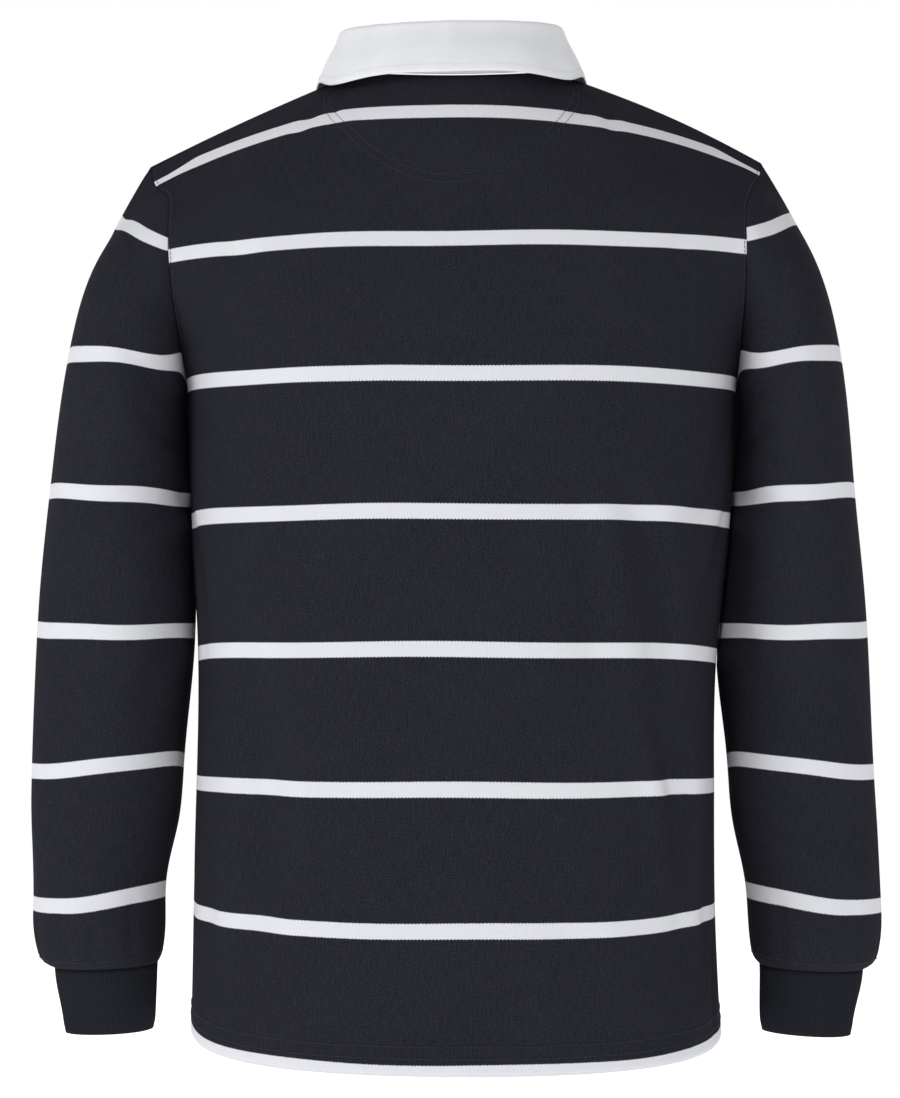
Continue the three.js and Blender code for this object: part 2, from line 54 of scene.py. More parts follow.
JERSEY = 1.5                   # thickness of the jersey
TWILL = 1.4                    # of the collar's twill
RIB = 2.4                      # of a cuff's two layers of rib
SEAM = 0.3                     # from the side and shoulder seams to each panel's edge
JOIN = 0.2                     # gap between a piece and the one that it is sewn to
LAY = 0.8                      # gap between the front and each band of the placket

# "across" is a share of a panel's half width, from -1 to 1, and v a height on its cloth above the hem.
NECK = 0.37                    # where across a panel the neck opening ends
NECK_HALF = 86.0               # half the neck opening
TIP_X, TIP_Z = 238.0, -71.0    # the outer end of the shoulder seam
SHOULDER_FULL = {1: 2.5, -1: 6.0}   # how far the left and the right shoulder seam bow up
SHOULDER_WAVE = 0.85           # the share of a half wave that the bow takes along the seam
V_POINT, V_TIP, V_UNDERARM = 765.0, 718.0, 507.5   # v at the shoulder seam's two ends, and at the underarm

# how many cells the cloth of each piece has
PANEL_COLUMNS = 132
ROWS_BELOW, ROWS_ABOVE = 150, 84   # below and above the underarm
SLEEVE_SIDES, SLEEVE_STEPS = 104, 190
COLLAR_STATIONS, COLLAR_STEPS = 200, 40
RIBS, RIB_SIDES, CUFF_STEPS = 124, 4, 14   # ribs round a cuff, columns in one rib, and rows

SLIT_HALF = 0.015              # half the front's slit, across; it ends at the underarm's height
BAND_HALF, BAND_FOOT, BAND_WALL = 0.065, 496.0, 1.2   # a placket band: across, v at its foot, thickness
BUTTON_HEIGHTS = (655, 600, 545)
PATCH_HALF, PATCH_FOOT, PATCH_WALL, PATCH_GAP = 0.34, 655.0, 1.1, 1.2   # the half-moon inside the back

# ---- tables

ROW_NAMES = ("v", "middle_z", "middle_y", "x", "skew", "y", "z", "tilt", "sweep", "peak", "full")
BACK_ROWS = (
    (0,     -751, 139, 203.3, 0.3, 0.3,  -735,  2, 90, 1.0, 9),
    (103.5, -648, 138, 200.3, -0.7, 0.3,  -641,  1, 90, 1.0, 9),
    (204.5, -547, 136, 199.3, 0.3, 0.3,  -549,  1, 90, 1.0, 9),
    (305.5, -446, 134, 200.3, 1.3, 0.3,  -452,  1, 90, 1.0, 9),
    (406.5, -346, 131, 208.0, 4.0, 0.3,  -349,  0, 90, 1.0, 9),
    (507.5, -245, 126, 213.0, 5.0, 0.3,  -243,  0, 88, 1.0, 8),
    (557.5, -195, 120, 215.0, 4.0, 47.0, -200, -1, 74, 1.1, 7),
    (608.5, -144, 110, 217.5, 2.5, 66.0, -147, -3, 62, 1.3, 5),
    (660.0, -93,  97,  220.0, 3.0, 50.0, -109, -3, 56, 1.5, 3),
    (690.0, -63,  88,  228.0, 4.0, 22.0, -91,  -3, 53, 1.7, 2),
    (709.5, -44,  80,  236.0, 1.0, 4.0,  -79,  -3, 52, 1.9, 0),
)
FRONT_ROWS = (
    (0,     -752, -136, 203.3, 0.3, -0.3,  -735,  2, 90, 1.0, 9),
    (103.5, -649, -134, 200.3, -0.7, -0.3,  -641,  1, 90, 1.0, 9),
    (204.5, -548, -132, 199.3, 0.3, -0.3,  -549,  1, 90, 1.0, 9),
    (305.5, -447, -130, 200.3, 1.3, -0.3,  -452,  1, 90, 1.0, 9),
    (406.5, -347, -127, 208.0, 4.0, -0.3,  -349,  0, 90, 1.0, 9),
    (507.5, -246, -122, 213.0, 5.0, -0.3,  -243,  0, 88, 1.0, 8),
    (557.5, -196, -116, 213.0, 4.0, -44.0, -200, -1, 74, 1.1, 7),
    (608.5, -146, -104, 212.0, 2.5, -62.0, -147, -3, 62, 1.2, 5),
    (660.0, -97,  -87,  215.0, 3.0, -48.0, -109, -3, 56, 1.3, 3),
    (690.0, -66,  -76,  226.0, 4.0, -21.0, -91,  -3, 53, 1.5, 2),
    (709.5, -46,  -66,  236.0, 1.0, -4.0,  -79,  -3, 52, 1.7, 0),
)
HIGH_ROW = 661

RING_NAMES = ("v", "out_x", "out_z", "in_x", "in_z", "mid_y", "depth", "bow", "out_skew", "in_skew")
# the cap's rings have a share of the way from the armhole down to the first of the sleeve's, for v
CAP_RINGS = (
    (1 / 3, 277.5, -143, 214.5, -273, 1, 72, 3,  0, -4.5),
    (2 / 3, 300.5, -227, 213.5, -301, 1, 72, -2, 1, -4.5),
)
SLEEVE_RINGS = (
    (351, 311.5, -322, 211.0, -331, 1,  68, -2, 2.7,  -4.2),
    (250, 321.0, -431, 204.5, -432, 0,  60, -2, 3.2,  -2.2),
    (149, 325.5, -540, 210.5, -531, -1, 53, -1, 2.7,  0),
    (98,  326.8, -591, 214.8, -581, -2, 50, -3, 1.2,  0),
    (48,  327.0, -642, 224.5, -631, -3, 47, -3, -0.6, 0),
    (16,  325.0, -676, 226.5, -671, -4, 45, -3, -1.0, -0.8),
    (7,   320.5, -687, 229.0, -683, -4, 41, -2, -1.4, -1),
    (0,   312.5, -692, 233.0, -689, -4, 35, 0,  -2,   -2),
)
CAP_EDGE = ((507.5, 437), (522, 452), (615, 553), (718, 604))

CUFF_RINGS = ((0, 39.5, 34), (10, 38.8, 33), (32, 36.2, 30.5), (50, 34.5, 29))
CUFF_MIDDLE = {"x": 272.5, "y": -4, "z": -690.5, "tilt": 1.5, "skew": -2}

COLLAR_NAMES = ("angle", "fold_x", "fold_y", "fold_z", "edge_x", "edge_y", "edge_z")
COLLAR_ROWS = (
    (0,   0,  61,  29,  0,   80,  -14),
    (35,  50, 50,  30,  59,  68,  -13.5),
    (65,  78, 26,  33,  93,  37,  -12.5),
    (90,  85, 0,   33,  104.5, 3,   -5.5),
    (118, 76, -34, 15,  109, -38, -37),
    (147, 46, -64, -24, 92,  -77, -82),
    (172, 12, -76, -55, 60,  -99, -118),
)
FOLD_RADIUS = 3.2
STAND_LIFT = 1.8

# Soft creases: where one starts on a piece's cloth, where it ends, its half width and its height, which
# is below 0 for a hollow. A place is millimetres from the panel's middle, or round a sleeve from its
# outer line, and then its height v.
BACK_CREASES = (
    (-100, 440, -142, 258, 15, -12.0),
    (-142, 268, -168, 118, 15, -11.5),
    (-118, 268, -138, 120, 10, 5.0),
    (-72,  430, -84,  270, 15, -5.5),
    (-165, 110, -150, 20,  16, -5.5),
    (-205, 180, -196, 60,  14, -3.6),
    (150,  340, 136,  60,  18, -9.5),
    (205,  190, 190,  30,  17, -4.4),
    (104,  270, 112,  70,  13, 3.6),
    (-60,  140, -84,  10,  18, -3.2),
    (20,   520, 35,   330, 30, -2.6),
    (62,   560, 96,   420, 24, -3.2),
    (-205, 470, -150, 400, 12, -4.6),
    (-225, 430, -180, 330, 11, -4.2),
    (205,  480, 150,  420, 11, -4.0),
    (232,  420, 205,  300, 10, -4.0),
    (-188, 600, -150, 560, 13, -3.0),
    (190,  610, 150,  575, 13, -3.2),
    (-100, 748, -128, 690, 6,  -1.8),
    (-84,  742, -100, 716, 4,  -1.4),
    (98,   748, 132,  695, 6,  -1.8),
    (84,   744, 96,   712, 4,  -1.5),
    (-60,  690, -110, 655, 16, -2.0),
    (60,   692, 118,  650, 16, -2.0),
    (-225, 90,  -212, 12,  9,  -4.2),
)
FRONT_CREASES = (
    (110,  420, 165,  240, 24, -5.0),
    (178,  260, 150,  110, 20, -4.0),
    (-160, 310, -140, 50,  26, -4.5),
    (-95,  240, -112, 60,  22, 2.0),
    (50,   150, 70,   10,  20, -2.2),
    (-22,  480, -30,  320, 26, -2.0),
    (205,  470, 150,  405, 13, -3.0),
    (-205, 480, -152, 415, 13, -3.0),
    (226,  430, 190,  330, 12, -2.6),
    (-230, 420, -200, 300, 12, -2.4),
    (-182, 600, -130, 560, 14, -2.4),
    (184,  605, 134,  566, 14, -2.4),
    (-95,  735, -130, 680, 8,  -1.8),
    (96,   735, 134,  682, 8,  -1.8),
)
# the fold of each sleeve that lies beside the body
SLEEVE_FOLDS = {1: (-158, 450, -160, 272, 18, 7.5), -1: (-160, 445, -165, 160, 19, 7.8)}
SLEEVE_CREASES = (
    (40,   560, 120,  500, 14, -2.6),
    (70,   500, 160,  430, 16, -3.0),
    (100,  440, 175,  395, 11, -2.6),
    (-40,  555, -118, 500, 14, -2.6),
    (-72,  500, -158, 432, 16, -3.0),
    (190,  360, 120,  330, 12, -3.4),
    (185,  318, 132,  300, 10, -3.0),
    (-190, 352, -125, 330, 12, -3.2),
    (20,   400, 45,   250, 18, -1.8),
    (95,   300, 70,   150, 16, -2.2),
    (150,  260, 120,  180, 12, -2.0),
    (-95,  290, -70,  150, 16, -2.2),
    (15,   110, 25,   30,  12, -1.6),
    (60,   60,  66,   4,   7,  -1.8),
    (92,   44,  96,   3,   5,  -1.5),
    (30,   40,  28,   3,   6,  -1.5),
    (-8,   50,  -6,   3,   6,  -1.4),
    (128,  50,  130,  3,   6,  -1.7),
    (-45,  50,  -44,  3,   6,  -1.6),
    (-85,  46,  -88,  3,   6,  -1.6),
    (-125, 50,  -122, 3,   6,  -1.6),
)

# ---- curves


def mix(a, b, t):
    return a + (b - a) * t


def ease(t):
    s = min(1.0, max(0.0, t))
    return s * s * (3 - 2 * s)


def hand_of(value):
    return -1 if value < 0 else 1


def curve_through(keys, values):
    """A natural cubic curve through pairs of a key and a value."""
    count = len(keys)
    middle, upper, right = [1.0] * count, [0.0] * count, [0.0] * count
    for i in range(1, count - 1):
        before, after = keys[i] - keys[i - 1], keys[i + 1] - keys[i]
        factor = before / middle[i - 1]
        middle[i] = 2 * (before + after) - factor * upper[i - 1]
        upper[i] = after
        slopes = (values[i + 1] - values[i]) / after - (values[i] - values[i - 1]) / before
        right[i] = 6 * slopes - factor * right[i - 1]
    bend = [0.0] * count
    for i in range(count - 2, 0, -1):
        bend[i] = (right[i] - upper[i] * bend[i + 1]) / middle[i]

    def at(key):
        i = 0
        while i < count - 2 and key > keys[i + 1]:
            i += 1
        span = keys[i + 1] - keys[i]
        b = (key - keys[i]) / span
        a = 1 - b
        curved = (a ** 3 - a) * bend[i] + (b ** 3 - b) * bend[i + 1]
        return a * values[i] + b * values[i + 1] + curved * span * span / 6

    return at


def path_through(keys, points):
    parts = [curve_through(keys, [point[axis] for point in points]) for axis in range(3)]
    return lambda key: Vector([part(key) for part in parts])


# ---- the body's surface


class Side:
    """The back or the front: its rows as curves, and its half of the neck."""

    def __init__(self, sign, rows, neck_y, neck_z, neck_v, power):
        self.sign, self.rows, self.power = sign, rows, power
        self.neck_y, self.neck_z, self.neck_v = neck_y, neck_z, neck_v
        keys = [row[0] for row in rows]
        self.row = {name: curve_through(keys, [row[k] for row in rows]) for k, name in enumerate(ROW_NAMES)}


BACK = Side(1, BACK_ROWS, 66, -14, 744, 1.6)
FRONT = Side(-1, FRONT_ROWS, -72, -78, 679, 1.2)


def row_point(side, v, across):
    at = {name: side.row[name](v) for name in ROW_NAMES}
    hand, share = hand_of(across), abs(across)
    sweep = math.radians(at["sweep"])
    turn = share * sweep
    puff = at["full"] * math.sin(math.pi * share) ** 2
    reach = at["x"] - hand * at["skew"]
    near = max(0.0, (math.cos(turn) - math.cos(sweep)) / (1 - math.cos(sweep))) ** at["peak"]
    return Vector((
        hand * (reach * math.sin(turn) / math.sin(sweep) + puff * math.sin(turn)),
        at["y"] + (at["middle_y"] - at["y"]) * near + side.sign * puff * math.cos(turn),
        at["middle_z"] + (at["z"] - at["middle_z"]) * share ** 2.4 + hand * at["tilt"] * share ** 1.3,
    ))


def top_edge(side, across):
    """The top edge's point and cloth height: half the neck opening, then the shoulder seam."""
    hand, share = hand_of(across), abs(across)
    seam_y = side.sign * SEAM
    if share <= NECK:
        turn = share / NECK * math.pi / 2
        near = max(0.0, math.cos(turn)) ** side.power
        y = seam_y + (side.neck_y - seam_y) * math.cos(turn)
        point = Vector((hand * NECK_HALF * math.sin(turn), y, side.neck_z * near))
        return point, mix(V_POINT, side.neck_v, near)
    t = (share - NECK) / (1 - NECK)
    z = TIP_Z * t + SHOULDER_FULL[hand] * math.sin(SHOULDER_WAVE * math.pi * t)
    return Vector((hand * mix(NECK_HALF, TIP_X, t), seam_y, z)), mix(V_POINT, V_TIP, t)


def panel_line(side, across):
    """The line up a panel at one place across it, as a function of the cloth height, and its top."""
    point, top = top_edge(side, across)
    low = [row[0] for row in side.rows if row[0] < HIGH_ROW]
    low_points = [row_point(side, v, across) for v in low]
    line = path_through(low + [top], low_points + [point])
    high = [row[0] for row in side.rows if row[0] > HIGH_ROW]
    if top > high[-1] + 3:
        weight = 1.0 if side.sign > 0 else ease((abs(across) - 0.4) / 0.2)
        high_points = [line(v).lerp(row_point(side, v, across), weight) for v in high]
        line = path_through(low + high + [top], low_points + high_points + [point])

    def at(v):
        found = line(v)
        found.y = side.sign * max(SEAM, side.sign * found.y)
        return found

    return at, top


# ---- the sleeve's surface

cap_edge = curve_through([pair[0] for pair in CAP_EDGE], [pair[1] for pair in CAP_EDGE])
edge_lines = {}


def armhole_point(hand, turn):
    """The armhole's edge at a turn round it: 0 at the shoulder, then the back, underarm and front."""
    side = BACK if turn <= math.pi else FRONT
    share = (turn if turn <= math.pi else 2 * math.pi - turn) / math.pi
    key = (side.sign, hand)
    if key not in edge_lines:
        edge_lines[key] = panel_line(side, hand)
    line, top = edge_lines[key]
    v = mix(top, V_UNDERARM, share)
    return side, v, line(v), cap_edge(v)


def ring_point(row, hand, turn):
    ring = dict(zip(RING_NAMES, row))
    out_x = ring["out_x"] + hand * ring["out_skew"]
    in_x = ring["in_x"] + hand * ring["in_skew"]
    cos, sin = math.cos(turn), math.sin(turn)
    z = (ring["out_z"] + ring["in_z"]) / 2 + (ring["out_z"] - ring["in_z"]) / 2 * cos
    return Vector((
        hand * ((out_x + in_x) / 2 + (out_x - in_x) / 2 * cos),
        ring["mid_y"] + ring["depth"] * sin,
        z + ring["bow"] * sin * sin,
    ))


def sleeve_line(hand, turn):
    """The line up a sleeve at a turn round it, as a function of the cloth height, and its top."""
    edge, top = armhole_point(hand, turn)[2:]
    low = [row[0] for row in reversed(SLEEVE_RINGS)]
    cap = [mix(top, low[-1], row[0]) for row in reversed(CAP_RINGS)]
    points = [ring_point(row, hand, turn) for row in reversed(CAP_RINGS + SLEEVE_RINGS)]
    return path_through(low + cap + [top], points + [edge]), top


def square_to(direction, axis):
    return (direction - axis * direction.dot(axis)).normalized()


def armhole_seam(hand, turn):
    """Where a sleeve is sewn on: the point, the panel's and the sleeve's normals and the gap's direction."""
    step = 0.02
    side, v, point, cloth = armhole_point(hand, turn)
    before = armhole_point(hand, max(0.0, turn - step))[2]
    after = armhole_point(hand, min(2 * math.pi, turn + step))[2]
    along = (after - before).normalized()
    in_panel = panel_line(side, hand * 0.98)[0](v) - point
    in_sleeve = sleeve_line(hand, turn)[0](cloth - 5) - point
    out_of_panel = -square_to(in_panel, along)
    into_sleeve = square_to(in_sleeve, along)
    panel_normal = out_of_panel.cross(along) * hand
    sleeve_normal = into_sleeve.cross(along) * hand
    mean = panel_normal + sleeve_normal
    is_open = ease((mean.length - 0.9) / 0.6)
    mean.normalize()
    gap = ((out_of_panel + into_sleeve) * is_open + panel_normal * (1 - is_open)).normalized()
    return {
        "point": point,
        "panel_normal": panel_normal.lerp(mean, is_open).normalized(),
        "sleeve_normal": sleeve_normal.lerp(mean, is_open).normalized(),
        "gap": gap,
    }


# ---- creases


def crease_relief(creases, places):
    """How far the creases raise each place (across, v) of a piece's cloth."""
    rows = []
    for a, v, to_a, to_v, width, depth in creases:
        length = math.hypot(to_a - a, to_v - v)
        rows.append((a, v, (to_a - a) / length, (to_v - v) / length, length, width, depth))
    raised = []
    for line in places:
        out = []
        for across, v in line:
            total = 0.0
            for a, start, dir_a, dir_v, length, width, depth in rows:
                run = (across - a) * dir_a + (v - start) * dir_v
                if run < -2 * width or run > length + 2 * width:
                    continue
                beside = (across - a) * -dir_v + (v - start) * dir_a
                # a crease bows a little along its length
                beside += 0.06 * length * math.sin(math.pi * min(1.0, max(0.0, run / length)))
                if abs(beside) > 3 * width:
                    continue
                ends = min(run + 1.5 * width, length + 1.5 * width - run)
                fade = ease(ends / (0.35 * length + 1.5 * width))
                middle = math.exp(-(beside / width) ** 2)
                banks = 0.35 * math.exp(-(beside / width / 2) ** 2)
                total += depth * fade * (middle - banks)
            out.append(total)
        raised.append(out)
    return raised


def swell(across, v, seed):
    """The slow unevenness of cloth that hangs."""
    a = math.sin(across * 0.021 + seed) * math.sin(v * 0.017 + seed * 2.1)
    b = math.sin(across * 0.043 - v * 0.019 + seed * 0.7)
    return 0.55 * a + 0.3 * b


# ---- walls


def grid_normals(grid, wraps):
    columns, rows = len(grid), len(grid[0])
    normals = []
    for i in range(columns):
        left = (i - 1) % columns if wraps else max(0, i - 1)
        right = (i + 1) % columns if wraps else min(columns - 1, i + 1)
        line = []
        for j in range(rows):
            across = grid[right][j] - grid[left][j]
            along = grid[i][min(rows - 1, j + 1)] - grid[i][max(0, j - 1)]
            line.append(across.cross(along).normalized())
        normals.append(line)
    return normals


def moved(grid, normals, distance):
    return [[p + n * distance for p, n in zip(line, directions)] for line, directions in zip(grid, normals)]


# the stretches of the bake map that the outer and the inner skin take, and the one along both
BAKE_SKINS, BAKE_ALONG = ((0.01, 0.72), (0.75, 0.99)), (0.01, 0.99)


def wall_object(name, outer, inner, cloth, wraps=False, keep=lambda i, j: True):
    """A closed thin shell. cloth holds each point's place on the cloth, in millimetres."""
    columns, rows = len(outer), len(outer[0])
    cells = columns if wraps else columns - 1
    vertices, faces, corner_cloth, corner_bake = [], [], [], []
    for grid in (outer, inner):
        for line in grid:
            vertices.extend(line)
    half = columns * rows

    def place(i, j, skin):
        # i may be one past the last column, where the cloth's own place goes on
        vertex = skin * half + (i % columns) * rows + j
        u, v = cloth[i][j]
        bake = (mix(*BAKE_SKINS[skin], i / cells), mix(*BAKE_ALONG, j / (rows - 1)))
        return vertex, (u * MM, v * MM), bake

    def face(*places):
        faces.append([p[0] for p in places])
        corner_cloth.extend(p[1] for p in places)
        corner_bake.extend(p[2] for p in places)

    def inside(i, j):
        if j < 0 or j >= rows - 1 or (not wraps and not 0 <= i < cells):
            return False
        return keep(i % cells, j)

    for i in range(cells):
        for j in range(rows - 1):
            if not inside(i, j):
                continue
            a, b, c, d = place(i, j, 0), place(i + 1, j, 0), place(i + 1, j + 1, 0), place(i, j + 1, 0)
            e, f, g, h = place(i, j, 1), place(i + 1, j, 1), place(i + 1, j + 1, 1), place(i, j + 1, 1)
            face(a, b, c, d)
            face(e, h, g, f)
            if not inside(i, j - 1):
                face(a, e, f, b)
            if not inside(i, j + 1):
                face(c, g, h, d)
            if not inside(i - 1, j):
                face(d, h, e, a)
            if not inside(i + 1, j):
                face(b, f, g, c)
    mesh = new_mesh(name, vertices, faces)
    write_uv(mesh, "Cloth", corner_cloth)
    write_uv(mesh, "OFBake", corner_bake)
    drop_loose(mesh)
    return smooth_piece(name, mesh)


def new_mesh(name, points, faces):
    """A mesh in metres, from points in millimetres."""
    mesh = bpy.data.meshes.new(name)
    mesh.from_pydata([point * MM for point in points], [], faces)
    return mesh


def smooth_piece(name, mesh):
    mesh.shade_smooth()
    return add_object(name, mesh)


def write_uv(mesh, name, places):
    layer = mesh.uv_layers.new(name=name)
    layer.data.foreach_set("uv", [value for place in places for value in place])


def drop_loose(mesh):
    used = bytearray(len(mesh.vertices))
    for loop in mesh.loops:
        used[loop.vertex_index] = 1
    if all(used):
        return
    work = bmesh.new()
    work.from_mesh(mesh)
    bmesh.ops.delete(work, geom=[v for v in work.verts if not v.link_faces], context="VERTS")
    work.to_mesh(mesh)
    work.free()


def add_object(name, mesh):
    piece = bpy.data.objects.new(name, mesh)
    bpy.context.scene.collection.objects.link(piece)
    return piece


# ---- places on a panel

PANEL_HALF = 272.0             # cloth from a panel's middle to its edge, in millimetres


def panel_relief(side, across, v, top):
    """How far a panel's cloth stands above or below its plain form, fading out at its seams."""
    creases = BACK_CREASES if side.sign > 0 else FRONT_CREASES
    u = across * PANEL_HALF
    raised = crease_relief(creases, [[(u, v)]])[0][0] + swell(u, v, 1.7 + side.sign)
    edge = PANEL_HALF * (1 - abs(across))
    fade = ease(edge / 16) * ease((top - v) / 14)
    if side.sign < 0 and v > BAND_FOOT - 40:
        fade *= mix(1, ease((abs(u) - 20) / 24), ease((v - BAND_FOOT + 40) / 40))
    raised *= fade
    if side.sign > 0:
        raised += moon_relief(u, v)
    raised += hem_relief(v)
    return raised


# The half-moon on the back: the middle of its straight side, and its two half sizes.
MOON_U, MOON_V, MOON_WIDE, MOON_DEEP = 2.5, 790.0, 112.0, 138.0
MOON_ROWS = (0.0, 6.0)         # stitch rows, inwards from the half-moon's edge
HEM_ROWS = (12.5, 21.0)        # stitch rows above the hem's edge
HEM_WALL = 1.2                 # wall that the turned-up hem adds


def moon_inside(u, v):
    """How far a place lies inside the half-moon's edge, in millimetres."""
    reach = math.hypot((u - MOON_U) / MOON_WIDE, (v - MOON_V) / MOON_DEEP)
    return (1 - reach) * (MOON_WIDE + MOON_DEEP) / 2


def moon_relief(u, v):
    inside = moon_inside(u, v)
    if inside < -12:
        return 0.0
    return 0.7 * ease((inside + 2) / 4) - 0.5 * math.exp(-((inside - 3) / 4.5) ** 2)


def hem_relief(v):
    """The turned-up hem stands a little proud between its edge and its upper stitches."""
    return 0.5 * (1 - ease((v - HEM_ROWS[1] + 1) / 3)) - 0.25 * math.exp(-((v - 17) / 3.5) ** 2)


def panel_frames(side, across, heights):
    """Points and outward normals on a panel's cloth, at one place across it."""
    line, top = panel_line(side, across)
    inwards = -0.008 * hand_of(across)
    beside = panel_line(side, across + inwards)[0]
    frames = []
    for v in heights:
        point = line(v)
        up = line(v + 2) - point if v + 2 < top else point - line(v - 2)
        normal = (beside(v) - point).cross(up).normalized() * (-side.sign * hand_of(inwards))
        frames.append((point + normal * panel_relief(side, across, v, top), normal))
    return frames


def panel_place(side, u, v):
    return panel_frames(side, u / PANEL_HALF, [v])[0]


# ---- front and back


def places_across(side):
    places = []
    for i in range(PANEL_COLUMNS + 1):
        even = -1 + 2 * i / PANEL_COLUMNS
        place = -side.sign * even * (1.12 - 0.12 * even * even)
        near_neck = abs(abs(place) - NECK) < 0.004
        places.append(hand_of(place) * NECK if near_neck else place)
    if side.sign < 0:
        middle = PANEL_COLUMNS // 2
        places[middle:middle + 1] = [-SLIT_HALF, SLIT_HALF]
    return places


def panel_heights(top):
    below = [V_UNDERARM * j / ROWS_BELOW for j in range(ROWS_BELOW)]
    return below + [mix(V_UNDERARM, top, j / ROWS_ABOVE) for j in range(ROWS_ABOVE + 1)]


def panel_direction(side, normal, across, row):
    """The wall's direction at a panel's point, which at a seam is square to the seam."""
    rows = ROWS_BELOW + ROWS_ABOVE
    level = Vector((normal.x, 0, normal.z)).normalized()
    if row == rows and abs(across) >= NECK:
        return level
    if abs(across) > 0.999:
        if row <= ROWS_BELOW:
            return level
        share = (rows - row) / ROWS_ABOVE
        turn = share * math.pi if side.sign > 0 else (2 - share) * math.pi
        return armhole_seam(hand_of(across), turn)["panel_normal"]
    return normal


def own_side(side, grid):
    """Keeps a panel's points on its own side of the side and shoulder seams."""
    for line in grid:
        for point in line:
            point.y = side.sign * max(SEAM, side.sign * point.y)
    return grid


def make_panel(name, side):
    places = places_across(side)
    plain, cloth, relief = [], [], []
    for across in places:
        line, top = panel_line(side, across)
        heights = panel_heights(top)
        plain.append([line(v) for v in heights])
        cloth.append([(across * PANEL_HALF, panel_course(across, v)) for v in heights])
        relief.append([panel_relief(side, across, v, top) for v in heights])
    normals = grid_normals(plain, False)
    outer = [
        [p + n * r for p, n, r in zip(*lines)]
        for lines in zip(plain, normals, relief)
    ]
    directions = [
        [panel_direction(side, normals[i][j], places[i], j) for j in range(len(plain[0]))]
        for i in range(len(places))
    ]
    inner = [
        [p - d * (JERSEY + HEM_WALL * (1 - ease((c[1] - HEM_ROWS[1]) / 3))) for p, d, c in zip(*lines)]
        for lines in zip(outer, directions, cloth)
    ]

    own_side(side, outer)
    own_side(side, inner)

    def has_cloth(i, j):
        at_slit = side.sign < 0 and abs(places[i] + places[i + 1]) < 1e-9
        return not (at_slit and j >= ROWS_BELOW)

    return wall_object(name, outer, inner, cloth, keep=has_cloth)


# How far the knit's courses lie off the plain rings of a sleeve: at six turns from its outer line
# round to its inner line, for each height.
SHIFT_TURNS = (0, 45, 80, 115, 145, 180)
SHIFT_ROWS = (
    (0,   0,   0,   0,   0,   0,   0),
    (250, 0,   0,   0,   0,   0,   0),
    (351, 2.5, 2,   1,   0,   0,   0),
    (452, 14,  8,   -4.5, -17, -15, 10),
    (553, 0,   0,   -3,  -5,  -6,  -6),
    (610, 0,   0,   0,   0,   0,   0),
)
shift_curves = [
    curve_through([row[0] for row in SHIFT_ROWS], [row[k + 1] for row in SHIFT_ROWS])
    for k in range(len(SHIFT_TURNS))
]


def sleeve_course(turn, v):
    """The height that the knit's courses have at a place on a sleeve."""
    degrees = math.degrees(turn if turn <= math.pi else 2 * math.pi - turn)
    shift = curve_through(SHIFT_TURNS, [curve(v) for curve in shift_curves])(degrees)
    return v + shift + 0.3 * math.sin(turn * 5 + v * 0.02)


# Near the shoulder's tip the courses close up. TIP_ACROSS and TIP_V say where that starts and over how
# much it grows. There a course's height is TIP_COURSE at v = TIP_FROM, and rises by TIP_SLOPE.
TIP_ACROSS, TIP_V = (0.80, 0.2), (688.0, 16.0)
TIP_FROM, TIP_COURSE, TIP_SLOPE = 707.0, 709.5, 2.6


def panel_course(across, v):
    """The same on a panel: the courses wander a little, and close up over the shoulder's tip."""
    course = v + 0.5 * math.sin(across * 11 + v * 0.023) * math.sin(v * 0.031 + 1)
    course -= 2.5 * ease((v - 660) / 40) * math.exp(-((across - 0.33) / 0.16) ** 2)
    closed = ease((abs(across) - TIP_ACROSS[0]) / TIP_ACROSS[1]) * ease((v - TIP_V[0]) / TIP_V[1])
    return mix(course, TIP_COURSE + (v - TIP_FROM) * TIP_SLOPE, closed)


# ---- sleeves and cuffs

SLEEVE_ROUND = 57.0            # cloth for one radian round a sleeve, in millimetres
SLEEVE_AROUND = 2 * math.pi * SLEEVE_ROUND


def varied(creases, seed):
    """The same creases a little moved, so that no two pieces crease alike."""
    chance = random.Random(seed)
    rows = []
    for across, v, to_across, to_v, width, depth in creases:
        slide = chance.uniform(-7, 7)
        rise = chance.uniform(-6, 6) if v > 80 else 0
        deeper = chance.uniform(0.7, 1.15)
        rows.append((across + slide, v + rise, to_across + slide, to_v + rise, width, depth * deeper))
    return rows


def sleeve_relief(creases, hand, turn, v, top):
    across = (turn if turn <= math.pi else turn - 2 * math.pi) * SLEEVE_ROUND
    places = [[(across, v), (across - SLEEVE_AROUND, v), (across + SLEEVE_AROUND, v)]]
    raised = sum(crease_relief(creases, places)[0]) + 0.8 * swell(across * 1.3, v * 1.2, 4 + hand)
    return raised * ease((top - v) / 14) * ease((v + 1) / 12)


BODY_DEPTH = 130.0             # half the body's depth beside the sleeves
REST_GAP, REST_SLOPE = 1.2, 0.10   # a sleeve's gap beside the side seam, and its growth away from it
side_edges = {}


def body_side(hand, z):
    """How far out the body's side seam lies at a height, or None beyond its ends."""
    if hand not in side_edges:
        line = panel_line(BACK, hand)[0]
        side_edges[hand] = [line(V_UNDERARM * k / 100) for k in range(101)]
    edge = side_edges[hand]
    for below, above in zip(edge, edge[1:]):
        if below.z <= z <= above.z:
            return abs(mix(below.x, above.x, (z - below.z) / (above.z - below.z)))
    return None


